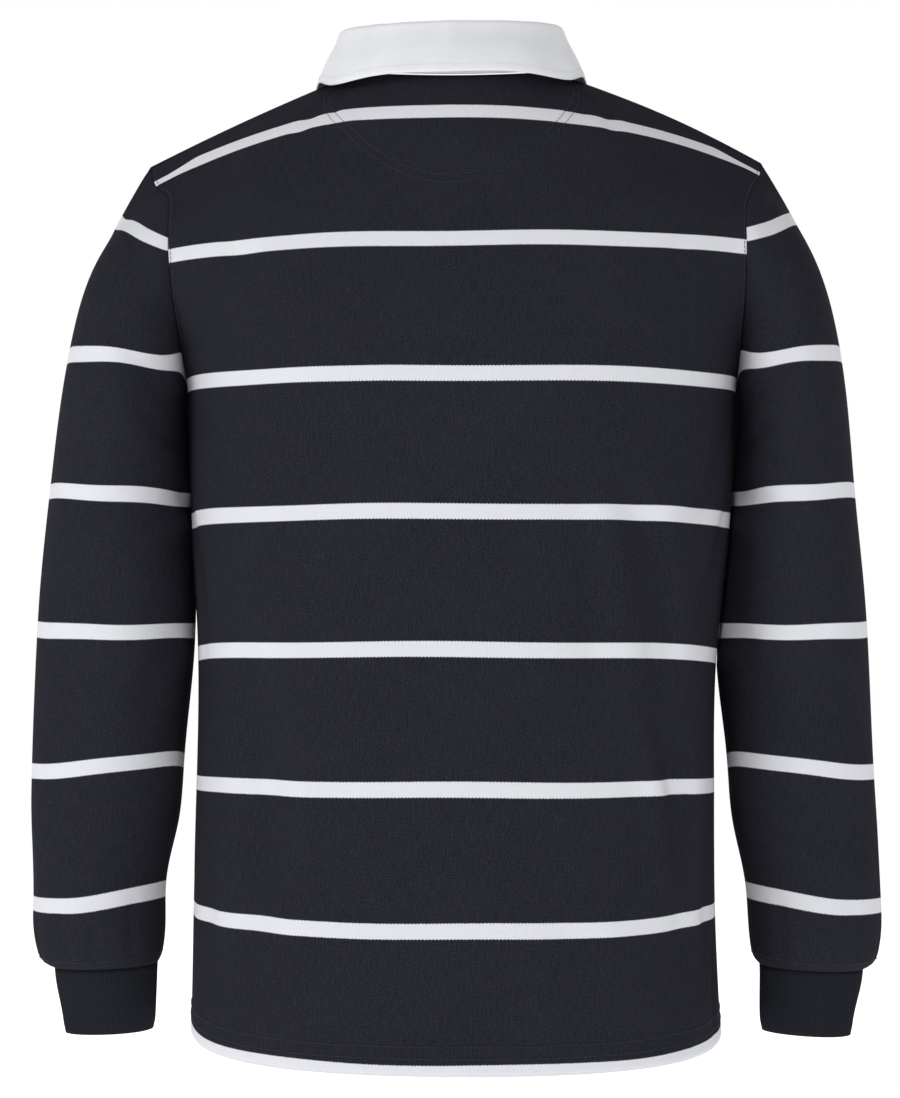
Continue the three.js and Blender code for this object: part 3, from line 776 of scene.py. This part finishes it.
def clear_of_body(hand, point):
    """The point, or where it must go out to so that the sleeve lies beside the body and not in it."""
    seam_x = body_side(hand, point.z)
    if seam_x is None or abs(point.y) >= BODY_DEPTH:
        return point
    body_x = seam_x * math.sqrt(1 - (point.y / BODY_DEPTH) ** 2)
    below = side_edges[hand][-1].z - point.z
    gap = JOIN + (REST_GAP - JOIN + REST_SLOPE * abs(point.y)) * ease(below / 12)
    if hand * point.x >= body_x + gap:
        return point
    return Vector((hand * (body_x + gap), point.y, point.z))


def make_sleeve(name, hand, creases):
    plain, cloth, relief, edges = [], [], [], []
    for i in range(SLEEVE_SIDES + 1):
        share = i / SLEEVE_SIDES
        turn = 2 * math.pi * (share if hand > 0 else 1 - share) % (2 * math.pi)
        line, top = sleeve_line(hand, turn)
        seam = armhole_seam(hand, turn)
        heights = [top * j / SLEEVE_STEPS for j in range(SLEEVE_STEPS)]
        plain.append([line(v) for v in heights] + [seam["point"] + seam["gap"] * JOIN])
        cloth.append([(share * SLEEVE_AROUND, sleeve_course(turn, v)) for v in heights + [top]])
        relief.append([sleeve_relief(creases, hand, turn, v, top) for v in heights + [top]])
        edges.append(seam["sleeve_normal"])
    normals = grid_normals(plain[:-1], True)
    for line, edge in zip(normals, edges):
        line[-1] = edge
    outer = [
        [clear_of_body(hand, p + n * r) for p, n, r in zip(*lines)]
        for lines in zip(plain, normals, relief)
    ]
    inner = moved(outer, normals, -JERSEY)
    return wall_object(name, outer, inner, cloth, wraps=True)


CUFF_AROUND, CUFF_LONG = 230, 50   # a cuff's cloth
CUFF_LEAN, LEAN_OVER = 3.6, 45     # how far a cuff leans inwards, and over what drop
CUFF_WAVE = 0.8                # how far a cuff's rim waves
RIB_RISE = 0.24                # half the height of a rib
EDGE_ROUND, EDGE_ROWS = 0.9, 1.2   # the rounding of a cuff's rim, and over how many rows


def make_cuff(name, hand):
    drops = [row[0] for row in CUFF_RINGS]
    wide = curve_through(drops, [row[1] for row in CUFF_RINGS])
    deep = curve_through(drops, [row[2] for row in CUFF_RINGS])
    middle_x = CUFF_MIDDLE["x"] + hand * CUFF_MIDDLE["skew"]
    count = RIBS * RIB_SIDES
    plain, cloth = [], []
    for i in range(count + 1):
        turn = hand * 2 * math.pi * i / count
        rise = -CUFF_MIDDLE["tilt"] * math.cos(turn)
        line = []
        for j in range(CUFF_STEPS + 1):
            drop = drops[-1] * (1 - j / CUFF_STEPS)
            wave = CUFF_WAVE * math.sin(3 * turn + hand) * ease(drop / 40)
            lean = CUFF_LEAN * ease(drop / LEAN_OVER)
            line.append(Vector((
                hand * (middle_x - lean + (wide(drop) + wave) * math.cos(turn)),
                CUFF_MIDDLE["y"] + (deep(drop) + wave) * math.sin(turn),
                CUFF_MIDDLE["z"] - JOIN + rise - drop,
            )))
        plain.append(line)
        cloth.append([(i / count * CUFF_AROUND, CUFF_LONG * j / CUFF_STEPS) for j in range(CUFF_STEPS + 1)])
    normals = grid_normals(plain[:-1], True)
    outer, inner = [], []
    rounding = [EDGE_ROUND * math.exp(-(j / EDGE_ROWS) ** 2) for j in range(CUFF_STEPS + 1)]
    for i, (line, directions) in enumerate(zip(plain, normals)):
        ridge = RIB_RISE * math.cos(2 * math.pi * i / RIB_SIDES)
        outer.append([p + n * (ridge - r) for p, n, r in zip(line, directions, rounding)])
        inner.append([p - n * (RIB - 0.3 - r) for p, n, r in zip(line, directions, rounding)])
    return wall_object(name, outer, inner, cloth, wraps=True)


# ---- collar

COLLAR_TILT = 0.018            # how much lower the collar lies towards the wearer's left
COLLAR_SHIFT = 3.0             # and how far it is slid that way
collar_curve = {
    name: curve_through([row[0] for row in COLLAR_ROWS], [row[k] for row in COLLAR_ROWS])
    for k, name in enumerate(COLLAR_NAMES)
}


def collar_section(degrees):
    """The collar's section at an angle round the neck: up the stand, over the fold and down the fall."""
    hand, angle = hand_of(degrees), abs(degrees)
    turn = math.radians(angle)
    side = BACK if angle <= 90 else FRONT
    share = (angle if angle <= 90 else 180 - angle) / 90 * NECK
    out = Vector((math.sin(turn), math.cos(turn), 0))

    def at(name):
        return Vector([collar_curve[f"{name}_{axis}"](angle) for axis in "xyz"])

    seam = top_edge(side, share)[0] + UP * STAND_LIFT - out * JERSEY / 2
    fold, edge = at("fold"), at("edge")
    fold += UP * (-COLLAR_TILT * hand * fold.x)
    edge += UP * (-COLLAR_TILT * hand * edge.x)

    def beside(sideways, drop):
        return fold + out * sideways * FOLD_RADIUS - UP * drop * FOLD_RADIUS

    stand_top, fall_top = beside(-1, 1), beside(1, 1)
    points = [
        seam, seam.lerp(stand_top, 0.5), stand_top, beside(-0.7, 0.3), fold, beside(0.7, 0.3),
        fall_top, fall_top.lerp(edge, 0.5) + out * 0.8, edge,
    ]
    lengths = [0.0]
    for a, b in zip(points, points[1:]):
        lengths.append(lengths[-1] + (b - a).length)
    path = path_through(lengths, points)
    section = []
    for k in range(COLLAR_STEPS + 1):
        share = k / COLLAR_STEPS
        point = path(lengths[-1] * share)
        slid = COLLAR_SHIFT * ease(share / 0.3)
        section.append((Vector((point.x * hand + slid, point.y, point.z)), lengths[-1] * share))
    return section


def collar_sections():
    last = COLLAR_ROWS[-1][0]
    return [collar_section(mix(-last, last, i / COLLAR_STATIONS)) for i in range(COLLAR_STATIONS + 1)]


def make_collar(name, sections):
    middle = [[place[0] for place in section] for section in sections]
    round_neck = [0.0]
    for before, after in zip(middle, middle[1:]):
        round_neck.append(round_neck[-1] + (after[-1] - before[-1]).length)
    cloth = [[(u, place[1]) for place in section] for u, section in zip(round_neck, sections)]
    normals = grid_normals(middle, False)
    half = TWILL / 2

    def thick(i, j):
        # softly rounded along its free edges
        from_edge = min(cloth[i][-1][1] - cloth[i][j][1], round_neck[i], round_neck[-1] - round_neck[i])
        return half * mix(0.45, 1, ease(from_edge / 2.5))

    def skin(facing):
        return [
            [p + n * facing * thick(i, j) for j, (p, n) in enumerate(zip(*pair))]
            for i, pair in enumerate(zip(middle, normals))
        ]

    return wall_object(name, skin(1), skin(-1), cloth)


# ---- pieces that lie on a panel


def lay_on(name, side, places, near, far):
    frames = [panel_frames(side, across, heights) for across, heights in places]
    outer = [[p + n * far for p, n in line] for line in frames]
    inner = [[p + n * near for p, n in line] for line in frames]
    cloth = [[(across * PANEL_HALF, v) for v in heights] for across, heights in places]
    return wall_object(name, outer, inner, cloth)


def make_neck_patch(name):
    columns, rows = 64, 24
    places = []
    for i in range(columns + 1):
        share = -0.985 * math.cos(math.pi * i / columns)
        across = -PATCH_HALF * share
        top = top_edge(BACK, across)[1] - 3
        foot = min(mix(PATCH_FOOT, V_POINT - 3, 1 - math.sqrt(1 - share * share)), top - 4)
        places.append((across, [mix(foot, top, j / rows) for j in range(rows + 1)]))
    near = -(JERSEY + PATCH_GAP)
    return lay_on(name, BACK, places, near - PATCH_WALL, near)


def make_band(name, near):
    """A band of the placket, whose inner face lies this far out from the front's cloth."""
    columns, rows = 14, 90
    places = []
    for i in range(columns + 1):
        across = mix(-BAND_HALF, BAND_HALF, i / columns)
        top = top_edge(FRONT, across)[1] - 2
        places.append((across, [mix(BAND_FOOT, top, j / rows) for j in range(rows + 1)]))
    return lay_on(name, FRONT, places, near, near + BAND_WALL)


BUTTON_PROFILE = (
    (0, 0), (6, 0), (6.7, 0.3), (7, 0.9), (7, 2.2), (6.8, 2.75), (6.3, 3), (5.7, 3), (5.2, 2.85),
    (4.8, 2.4), (4.4, 2.12), (3.8, 2.05), (0, 2.0),
)
BUTTON_SIDES = 40


def make_button(name, height):
    point, normal = panel_frames(FRONT, 0.0, [height])[0]
    base = point + normal * (LAY + BAND_WALL + JOIN)
    right = UP.cross(normal).normalized()
    up = normal.cross(right)
    vertices, faces = [], []
    rings = BUTTON_PROFILE[1:-1]
    for radius, rise in rings:
        for k in range(BUTTON_SIDES):
            turn = 2 * math.pi * k / BUTTON_SIDES
            vertices.append(base + (right * math.cos(turn) + up * math.sin(turn)) * radius + normal * rise)
    low, high = len(vertices), len(vertices) + 1
    vertices += [base.copy(), base + normal * BUTTON_PROFILE[-1][1]]
    last = (len(rings) - 1) * BUTTON_SIDES
    for k in range(BUTTON_SIDES):
        after = (k + 1) % BUTTON_SIDES
        faces.append((low, after, k))
        faces.append((high, last + k, last + after))
        for j in range(len(rings) - 1):
            a, b = j * BUTTON_SIDES + k, j * BUTTON_SIDES + after
            faces.append((a, b, b + BUTTON_SIDES, a + BUTTON_SIDES))
    mesh = new_mesh(name, vertices, faces)
    return smooth_piece(name, mesh)


# ---- stitches

THREAD = 0.24                  # half the thickness of a stitch
STITCH, STITCH_GAP = 2.4, 1.0  # length of a stitch, and the gap to the next
STITCH_SIDES = 5
STITCH_RISE = ((0, -0.2), (0.2, 0.2), (0.8, 0.2), (1, -0.2))   # share of the length, and height there
WRIST_ROW, COLLAR_ROW, BAND_ROW, ARMHOLE_ROW = 10, 6, 2.5, 3.5   # each row's distance from its edge


def along_path(path):
    """A function from a length along a path of points and normals to a place on it, and its length."""
    lengths = [0.0]
    for (a, _), (b, _) in zip(path, path[1:]):
        lengths.append(lengths[-1] + (b - a).length)

    def at(length):
        i = bisect.bisect_left(lengths, length, 1, len(path) - 1) - 1
        t = (length - lengths[i]) / max(1e-9, lengths[i + 1] - lengths[i])
        return path[i][0].lerp(path[i + 1][0], t), path[i][1].lerp(path[i + 1][1], t).normalized()

    return at, lengths[-1]


def make_stitches(name, paths, seed):
    """Rows of stitches, each a short thread that dips into the cloth at its ends."""
    chance = random.Random(seed)
    vertices, faces, places = [], [], []
    for path in paths:
        at, total = along_path(path)
        start = STITCH_GAP / 2
        while start + STITCH < total:
            run = STITCH * chance.uniform(0.92, 1.06)
            lean = chance.uniform(-0.12, 0.12)
            first = len(vertices)
            for share, rise in STITCH_RISE:
                point, normal = at(min(total, start + run * share))
                ahead = at(min(total, start + run * share + 0.3))[0]
                behind = at(max(0, start + run * share - 0.3))[0]
                forward = (ahead - behind).normalized()
                aside = forward.cross(normal).normalized()
                centre = point + normal * (THREAD * 0.4 + rise) + aside * lean * (share - 0.5)
                for k in range(STITCH_SIDES):
                    turn = 2 * math.pi * k / STITCH_SIDES
                    out = (aside * math.cos(turn) + normal * math.sin(turn) * 0.8) * THREAD
                    vertices.append(centre + out)
                    places.append((start + run * share, k / STITCH_SIDES))
            rings = len(STITCH_RISE)
            for j in range(rings - 1):
                for k in range(STITCH_SIDES):
                    after = (k + 1) % STITCH_SIDES
                    a, b = first + j * STITCH_SIDES + k, first + j * STITCH_SIDES + after
                    faces.append((a, a + STITCH_SIDES, b + STITCH_SIDES, b))
            faces.append(tuple(first + k for k in range(STITCH_SIDES)))
            end = first + (rings - 1) * STITCH_SIDES
            faces.append(tuple(end + k for k in reversed(range(STITCH_SIDES))))
            start += run + STITCH_GAP
    mesh = new_mesh(name, vertices, faces)
    corners = [places[loop.vertex_index] for loop in mesh.loops]
    write_uv(mesh, "Cloth", [(along * MM, around * MM) for along, around in corners])
    return smooth_piece(name, mesh)


def moon_path(inset):
    """The half-moon's edge, inset millimetres inwards, from one neck end to the other."""
    wide, deep = MOON_WIDE - inset, MOON_DEEP - inset
    path = []
    for k in range(141):
        turn = math.pi * k / 140
        u, v = MOON_U - wide * math.cos(turn), MOON_V - deep * math.sin(turn)
        top = top_edge(BACK, u / PANEL_HALF)[1]
        if v < top - 2:
            path.append(panel_place(BACK, u, v))
    return path


def hem_path(side, v):
    return [panel_place(side, mix(-0.996, 0.996, k / 260) * PANEL_HALF, v) for k in range(261)]


def armhole_path(side, hand):
    """A row up the panel beside its armhole, from the underarm to the shoulder."""
    across = hand * (1 - ARMHOLE_ROW / PANEL_HALF)
    top = top_edge(side, across)[1]
    return panel_frames(side, across, [mix(V_UNDERARM + 2, top - 3, k / 120) for k in range(121)])


def wrist_path(creases, hand):
    """A row round a sleeve, above its end."""
    v = WRIST_ROW
    path = []
    for k in range(161):
        turn = 2 * math.pi * k / 160 % (2 * math.pi)
        line, top = sleeve_line(hand, turn)
        point = line(v)
        beside = sleeve_line(hand, (turn + 0.02) % (2 * math.pi))[0](v)
        normal = (beside - point).cross(line(v + 2) - point).normalized() * hand
        path.append((point + normal * sleeve_relief(creases, hand, turn, v, top), normal))
    return path


def collar_edge_path(sections):
    """A row on the fall's outer face, beside its free edge."""
    middle = [[place[0] for place in section] for section in sections]
    normals = grid_normals(middle, False)
    path = []
    for i, section in enumerate(sections[5:-5], 5):
        total = section[-1][1]
        j = round((total - COLLAR_ROW) / total * COLLAR_STEPS)
        step = total / COLLAR_STEPS
        share = (total - COLLAR_ROW) / step - j
        other = min(COLLAR_STEPS, j + (1 if share > 0 else -1))
        point = middle[i][j].lerp(middle[i][other], abs(share))
        path.append((point + normals[i][j] * TWILL / 2, normals[i][j]))
    return path


def band_path():
    """Down one side of the placket's over band, across its foot and up the other side."""
    side_across = BAND_HALF - BAND_ROW / PANEL_HALF
    path = []
    tops = top_edge(FRONT, side_across)[1] - 6
    foot = BAND_FOOT + BAND_ROW
    rise = LAY + BAND_WALL
    for k in range(61):
        path.append(panel_place(FRONT, -side_across * PANEL_HALF, mix(tops, foot, k / 60)))
    for k in range(1, 16):
        path.append(panel_place(FRONT, mix(-side_across, side_across, k / 16) * PANEL_HALF, foot))
    for k in range(61):
        path.append(panel_place(FRONT, side_across * PANEL_HALF, mix(foot, tops, k / 60)))
    return [(point + normal * rise, normal) for point, normal in path]


# ---- materials

COLOURS = {
    "navy": (0.0125, 0.0125, 0.0185),
    "navy_light": (0.0290, 0.0290, 0.0395),
    "fleck": (0.090, 0.090, 0.115),
    "stripe": (0.80, 0.81, 0.85),
    "stripe_shade": (0.735, 0.745, 0.785),
    # rib is the cuff's colour in the painted shade of the hollows between its ribs, and the next one is
    # painted light on the ridges; both also carry random fibre tone
    "rib": (0.0130, 0.0138, 0.0185),
    "rib_fibre_and_lit_ridge": (0.0245, 0.0260, 0.0325),
    "twill": (0.905, 0.915, 0.945),
    "twill_shade": (0.79, 0.80, 0.84),
    "thread": (0.024, 0.024, 0.040),
    "thread_light": (0.045, 0.044, 0.070),
    "white_thread": (0.70, 0.71, 0.74),
    "white_thread_light": (0.82, 0.82, 0.85),
    "rubber": (0.74, 0.75, 0.76),
    "rubber_light": (0.80, 0.80, 0.81),
    "floor": (0.88, 0.88, 0.89),
    "floor_light": (0.92, 0.92, 0.92),
}


class Shader:
    """A material's nodes: each call adds one and gives its output."""

    def __init__(self, name):
        self.material = bpy.data.materials.new(name)
        self.material.use_nodes = True
        self.tree = self.material.node_tree
        self.surface = self.tree.nodes["Principled BSDF"]

    def add(self, kind, **settings):
        node = self.tree.nodes.new(kind)
        for name, value in settings.items():
            setattr(node, name, value)
        return node

    def feed(self, node, **inputs):
        """Links or sets a node's inputs; a name's underscores stand for spaces."""
        for name, value in inputs.items():
            self.put(node.inputs[name.replace("_", " ")], value)

    def put(self, socket, value):
        """Links a socket to a node's output, or sets it to a value or to a colour by its name."""
        if isinstance(value, bpy.types.NodeSocket):
            self.tree.links.new(value, socket)
        else:
            socket.default_value = (*COLOURS[value], 1) if isinstance(value, str) else value

    def math(self, operation, *values):
        node = self.add("ShaderNodeMath", operation=operation)
        for socket, value in zip(node.inputs, values):
            self.put(socket, value)
        return node.outputs[0]

    def wave(self, place, length, shape="SINE"):
        """A wave along a place, by its length in metres."""
        return self.math(shape, self.math("MULTIPLY", place, 2 * math.pi / length))

    def sum(self, first, share, second):
        """A share of the first value, and all of the second."""
        return self.math("ADD", self.math("MULTIPLY", first, share), second)

    def cloth(self):
        """The place on the cloth, in metres: the whole vector, across and along."""
        place = self.add("ShaderNodeUVMap", uv_map="Cloth").outputs["UV"]
        parts = self.add("ShaderNodeSeparateXYZ")
        self.feed(parts, Vector=place)
        return place, parts.outputs["X"], parts.outputs["Y"]

    def noise(self, place, scale, detail=2.0, roughness=0.5):
        node = self.add("ShaderNodeTexNoise")
        self.feed(node, Vector=place, Scale=scale, Detail=detail, Roughness=roughness)
        return node.outputs["Fac"]

    def stretched(self, place, scale):
        node = self.add("ShaderNodeVectorMath", operation="MULTIPLY")
        self.put(node.inputs[0], place)
        self.put(node.inputs[1], scale)
        return node.outputs[0]

    def ramp(self, value, low, high, to_low=0.0, to_high=1.0):
        node = self.add("ShaderNodeMapRange", interpolation_type="SMOOTHSTEP")
        self.feed(node, Value=value, From_Min=low, From_Max=high, To_Min=to_low, To_Max=to_high)
        return node.outputs["Result"]

    def blend(self, share, first, second):
        node = self.add("ShaderNodeMix", data_type="RGBA")
        # of the node's inputs and outputs, these are its share, its two colours and its colour
        for index, value in ((0, share), (6, first), (7, second)):
            self.put(node.inputs[index], value)
        return node.outputs[2]

    def bump(self, height, distance, strength=1.0):
        node = self.add("ShaderNodeBump")
        self.feed(node, Height=height, Distance=distance, Strength=strength)
        self.feed(self.surface, Normal=node.outputs["Normal"])

    def finish(self, colour, roughness, specular):
        self.feed(self.surface, Base_Color=colour, Roughness=roughness, Specular_IOR_Level=specular)
        return self.material


# in metres, as the nodes are
WALE, COURSE = 0.00115, 0.00100   # one wale's width and one course's height
TOOTH, TOOTH_DEPTH = 0.0022, 0.00022   # the steps along a stripe's edges
RAGGED = 0.0012                # how far loose fibres fray the edges
TWILL_WALE = 0.0011
PLY = 0.0005                   # one turn of a thread's ply
FLOOR_GLOW = 0.62              # what the floor sends out, so that it blends into the room


def knit_height(shader, u, v, place):
    """The jersey's loops: narrow wales with a course ripple, and loose fibres over them."""
    wale = shader.wave(u, WALE)
    row = shader.sum(v, 2 * math.pi / COURSE, shader.math("MULTIPLY", wale, 1.3))
    course = shader.math("SINE", row)
    loops = shader.sum(wale, 0.30, shader.math("MULTIPLY", course, 0.20))
    fibres = shader.noise(place, 1150.0, 3.0, 0.6)
    return shader.math("ADD", loops, fibres), fibres


def jersey_material(name, first_stripe=None):
    """The jersey: dark, and with light stripes if the height of the first one is given."""
    shader = Shader(name)
    place, u, v = shader.cloth()
    height, fibres = knit_height(shader, u, v, place)
    streaks = shader.noise(shader.stretched(place, (1.0, 0.10, 1.0)), 900.0, 2.0)
    specks = shader.noise(place, 900.0, 3.0, 0.6)
    heather = shader.ramp(shader.sum(streaks, 0.30, specks), 0.46, 0.86)
    navy = shader.blend(heather, "navy", "navy_light")
    cloudy = shader.ramp(shader.noise(place, 14.0, 2.0), 0.30, 0.72, 0.0, 0.16)
    navy = shader.blend(cloudy, navy, "navy_light")
    fleck = shader.ramp(shader.noise(place, 800.0, 1.0), 0.72, 0.79, 0.0, 0.6)
    navy = shader.blend(fleck, navy, "fleck")
    shader.bump(height, 0.00030, 0.55)
    if first_stripe is None:
        return shader.finish(navy, 1.0, 0.05)
    light = shader.blend(shader.ramp(fibres, 0.35, 0.65), "stripe_shade", "stripe")
    ragged = shader.math("MULTIPLY", shader.math("SUBTRACT", fibres, 0.5), RAGGED)
    from_middle = shader.math("ABSOLUTE", shader.math(
        "WRAP", shader.math("SUBTRACT", v, first_stripe * MM), REPEAT / 2 * MM, -REPEAT / 2 * MM))
    from_middle = shader.math("ADD", from_middle, shader.sum(shader.wave(u, TOOTH), TOOTH_DEPTH, ragged))
    in_stripe = shader.ramp(from_middle, (STRIPE / 2 - 0.35) * MM, (STRIPE / 2 + 0.35) * MM, 1.0, 0.0)
    return shader.finish(shader.blend(in_stripe, navy, light), 1.0, 0.05)


def rib_material(name):
    shader = Shader(name)
    place, u, v = shader.cloth()
    fibres = shader.noise(place, 800.0, 3.0, 0.6)
    # each rib's ridge is painted lighter and the hollow between ribs darker, as painted light and shade in
    # step with the ribs' shape, over random fibre tone
    level = shader.sum(shader.wave(u, CUFF_AROUND * MM / RIBS, "COSINE"), 0.22, fibres)
    colour = shader.blend(shader.ramp(level, 0.2, 0.95), "rib", "rib_fibre_and_lit_ridge")
    shader.bump(shader.sum(shader.wave(v, COURSE), 0.25, fibres), 0.00030, 0.6)
    return shader.finish(colour, 1.0, 0.05)


def twill_material(name):
    shader = Shader(name)
    place, u, v = shader.cloth()
    wale = shader.wave(shader.math("ADD", u, v), TWILL_WALE)
    fibres = shader.noise(place, 900.0, 3.0, 0.6)
    level = shader.sum(wale, 0.3, fibres)
    clouds = shader.noise(place, 40.0, 2.0)
    tone = shader.sum(level, 0.5, shader.math("MULTIPLY", clouds, 0.6))
    colour = shader.blend(shader.ramp(tone, 0.25, 0.85), "twill_shade", "twill")
    shader.bump(level, 0.00018, 0.5)
    return shader.finish(colour, 0.9, 0.1)


def thread_material(name, dark, light):
    shader = Shader(name)
    place, along, _ = shader.cloth()
    fibres = shader.noise(place, 1500.0, 2.0)
    level = shader.sum(shader.wave(along, PLY), 0.25, fibres)
    colour = shader.blend(shader.ramp(level, 0.25, 0.8), dark, light)
    shader.bump(level, 0.00006, 0.6)
    return shader.finish(colour, 0.6, 0.3)


def rubber_material(name):
    shader = Shader(name)
    place = shader.add("ShaderNodeTexCoord").outputs["Object"]
    cloud = shader.noise(place, 260.0, 3.0)
    colour = shader.blend(shader.ramp(cloud, 0.35, 0.65), "rubber", "rubber_light")
    shader.bump(shader.noise(place, 1800.0, 2.0), 0.00003, 0.4)
    return shader.finish(colour, shader.ramp(cloud, 0.3, 0.7, 0.45, 0.6), 0.4)


def floor_material(name):
    shader = Shader(name)
    place = shader.add("ShaderNodeTexCoord").outputs["Object"]
    colour = shader.blend(shader.noise(place, 2.0), "floor", "floor_light")
    shader.feed(shader.surface, Emission_Color=(1, 1, 1, 1), Emission_Strength=FLOOR_GLOW)
    return shader.finish(colour, 0.9, 0.1)


# ---- the shirt

materials = {
    "body": jersey_material("jersey_body", FIRST_STRIPE),
    "sleeve": jersey_material("jersey_sleeve", SLEEVE_STRIPE),
    "plain": jersey_material("jersey_plain"),
    "rib": rib_material("cotton_rib"),
    "twill": twill_material("cotton_twill"),
    "thread": thread_material("navy_thread", "thread", "thread_light"),
    "white_thread": thread_material("white_thread", "white_thread", "white_thread_light"),
    "rubber": rubber_material("white_rubber"),
    "floor": floor_material("pale_floor"),
}


def dress(piece, material, nodes=()):
    piece.data.materials.append(materials[material])
    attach(piece, "root")
    if nodes:
        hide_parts(*nodes)
    return piece


left_creases = [SLEEVE_FOLDS[1], *SLEEVE_CREASES]
right_creases = [SLEEVE_FOLDS[-1], *varied(SLEEVE_CREASES, 11)]
sections = collar_sections()

back = dress(make_panel("back_panel", BACK), "body", ["back"])
front = dress(make_panel("front_panel", FRONT), "body", ["front"])
sleeve_left = dress(make_sleeve("left_sleeve", 1, left_creases), "sleeve", ["sleeve_left"])
sleeve_right = dress(make_sleeve("right_sleeve", -1, right_creases), "sleeve", ["sleeve_right"])
cuff_left = dress(make_cuff("left_cuff", 1), "rib", ["cuff_left"])
cuff_right = dress(make_cuff("right_cuff", -1), "rib", ["cuff_right"])
collar = dress(make_collar("folded_collar", sections), "twill", ["collar"])
patch = dress(make_neck_patch("half_moon"), "plain", ["neck_patch"])
over = dress(make_band("band_over", LAY), "plain", ["placket_over"])
under = dress(make_band("band_under", -(JERSEY + LAY + BAND_WALL)), "plain", ["placket_under"])
for k, height in enumerate(BUTTON_HEIGHTS, 1):
    dress(make_button(f"rubber_button_{k}", height), "rubber", [f"button_{k}"])


def sew(name, paths, seed, material="thread"):
    return dress(make_stitches(name, paths, seed), material)


HANDS = (-1, 1)                # the right side and then the left


moon_stitches = sew("half_moon_stitches", [moon_path(inset) for inset in MOON_ROWS], 2)
back_hem = sew("back_hem_stitches", [hem_path(BACK, v) for v in HEM_ROWS], 3)
front_hem = sew("front_hem_stitches", [hem_path(FRONT, v) for v in HEM_ROWS], 4)
back_arms = sew("back_armhole_stitches", [armhole_path(BACK, hand) for hand in HANDS], 5)
front_arms = sew("front_armhole_stitches", [armhole_path(FRONT, hand) for hand in HANDS], 6)
left_wrist = sew("left_wrist_stitches", [wrist_path(left_creases, 1)], 7)
right_wrist = sew("right_wrist_stitches", [wrist_path(right_creases, -1)], 8)
collar_edge = sew("collar_stitches", [collar_edge_path(sections)], 9, "white_thread")
placket_edge = sew("placket_stitches", [band_path()], 10)

# ---- floor, light and camera


# from here on in metres, but for the camera's place
FLOOR_LEVEL, FLOOR_HALF = -1.02, 6.0
WORLD_LIGHT = 0.45             # the pale room gives this much light, though it is seen white


def make_floor():
    corners = [(x * FLOOR_HALF, y * FLOOR_HALF, FLOOR_LEVEL) for x, y in ((-1, -1), (1, -1), (1, 1), (-1, 1))]
    mesh = bpy.data.meshes.new("floor")
    mesh.from_pydata(corners, [], [(0, 1, 2, 3)])
    mesh.materials.append(materials["floor"])
    add_object("floor", mesh)


def add_light(name, place, target, size, power):
    light = bpy.data.lights.new(name, "AREA")
    light.shape = "RECTANGLE"
    light.size, light.size_y = size
    light.energy = power
    lamp = bpy.data.objects.new(name, light)
    lamp.location = place
    lamp.rotation_euler = (Vector(target) - Vector(place)).to_track_quat("-Z", "Y").to_euler()
    bpy.context.scene.collection.objects.link(lamp)


def add_world():
    world = bpy.data.worlds.new("studio")
    bpy.context.scene.world = world
    world.use_nodes = True
    tree = world.node_tree
    background = tree.nodes["Background"]
    background.inputs["Color"].default_value = (1, 1, 1, 1)
    path = tree.nodes.new("ShaderNodeLightPath")
    strength = tree.nodes.new("ShaderNodeMapRange")
    strength.inputs["To Min"].default_value = WORLD_LIGHT
    strength.inputs["To Max"].default_value = 1.0
    tree.links.new(path.outputs["Is Camera Ray"], strength.inputs["Value"])
    tree.links.new(strength.outputs["Result"], background.inputs["Strength"])


CAMERA_YAW, CAMERA_PITCH = math.radians(1), math.radians(2)
CAMERA_ASIDE, CAMERA_DISTANCE, CAMERA_HEIGHT = 4, 1893.0, -435.0


def add_camera():
    """Behind the shirt, turned a little about the vertical and tilted up."""
    sin, cos = math.sin(CAMERA_YAW), math.cos(CAMERA_YAW)
    camera = bpy.data.cameras.new("camera")
    camera.lens, camera.sensor_width = 80, 36
    holder = bpy.data.objects.new("camera", camera)
    place = Vector((CAMERA_ASIDE - CAMERA_DISTANCE * sin, CAMERA_DISTANCE * cos, CAMERA_HEIGHT))
    holder.location = place * MM
    level = math.cos(CAMERA_PITCH)
    forward = Vector((sin * level, -cos * level, math.sin(CAMERA_PITCH)))
    holder.rotation_euler = forward.to_track_quat("-Z", "Y").to_euler()
    bpy.context.scene.collection.objects.link(holder)
    bpy.context.scene.camera = holder


make_floor()
add_world()
add_light("key", (2.3, 1.5, 0.6), (0, 0, -0.40), (1.0, 1.0), 21)
add_light("fill", (-0.9, 2.6, 0.4), (0, 0, -0.4), (1.4, 1.4), 10)
add_light("front_key", (-1.0, -2.4, 0.7), (0, 0, -0.35), (1.4, 1.4), 15)
add_light("front_fill", (1.2, -2.4, 0.4), (0, 0, -0.4), (1.4, 1.4), 10)
add_camera()
bpy.context.scene.view_settings.view_transform = "Standard"
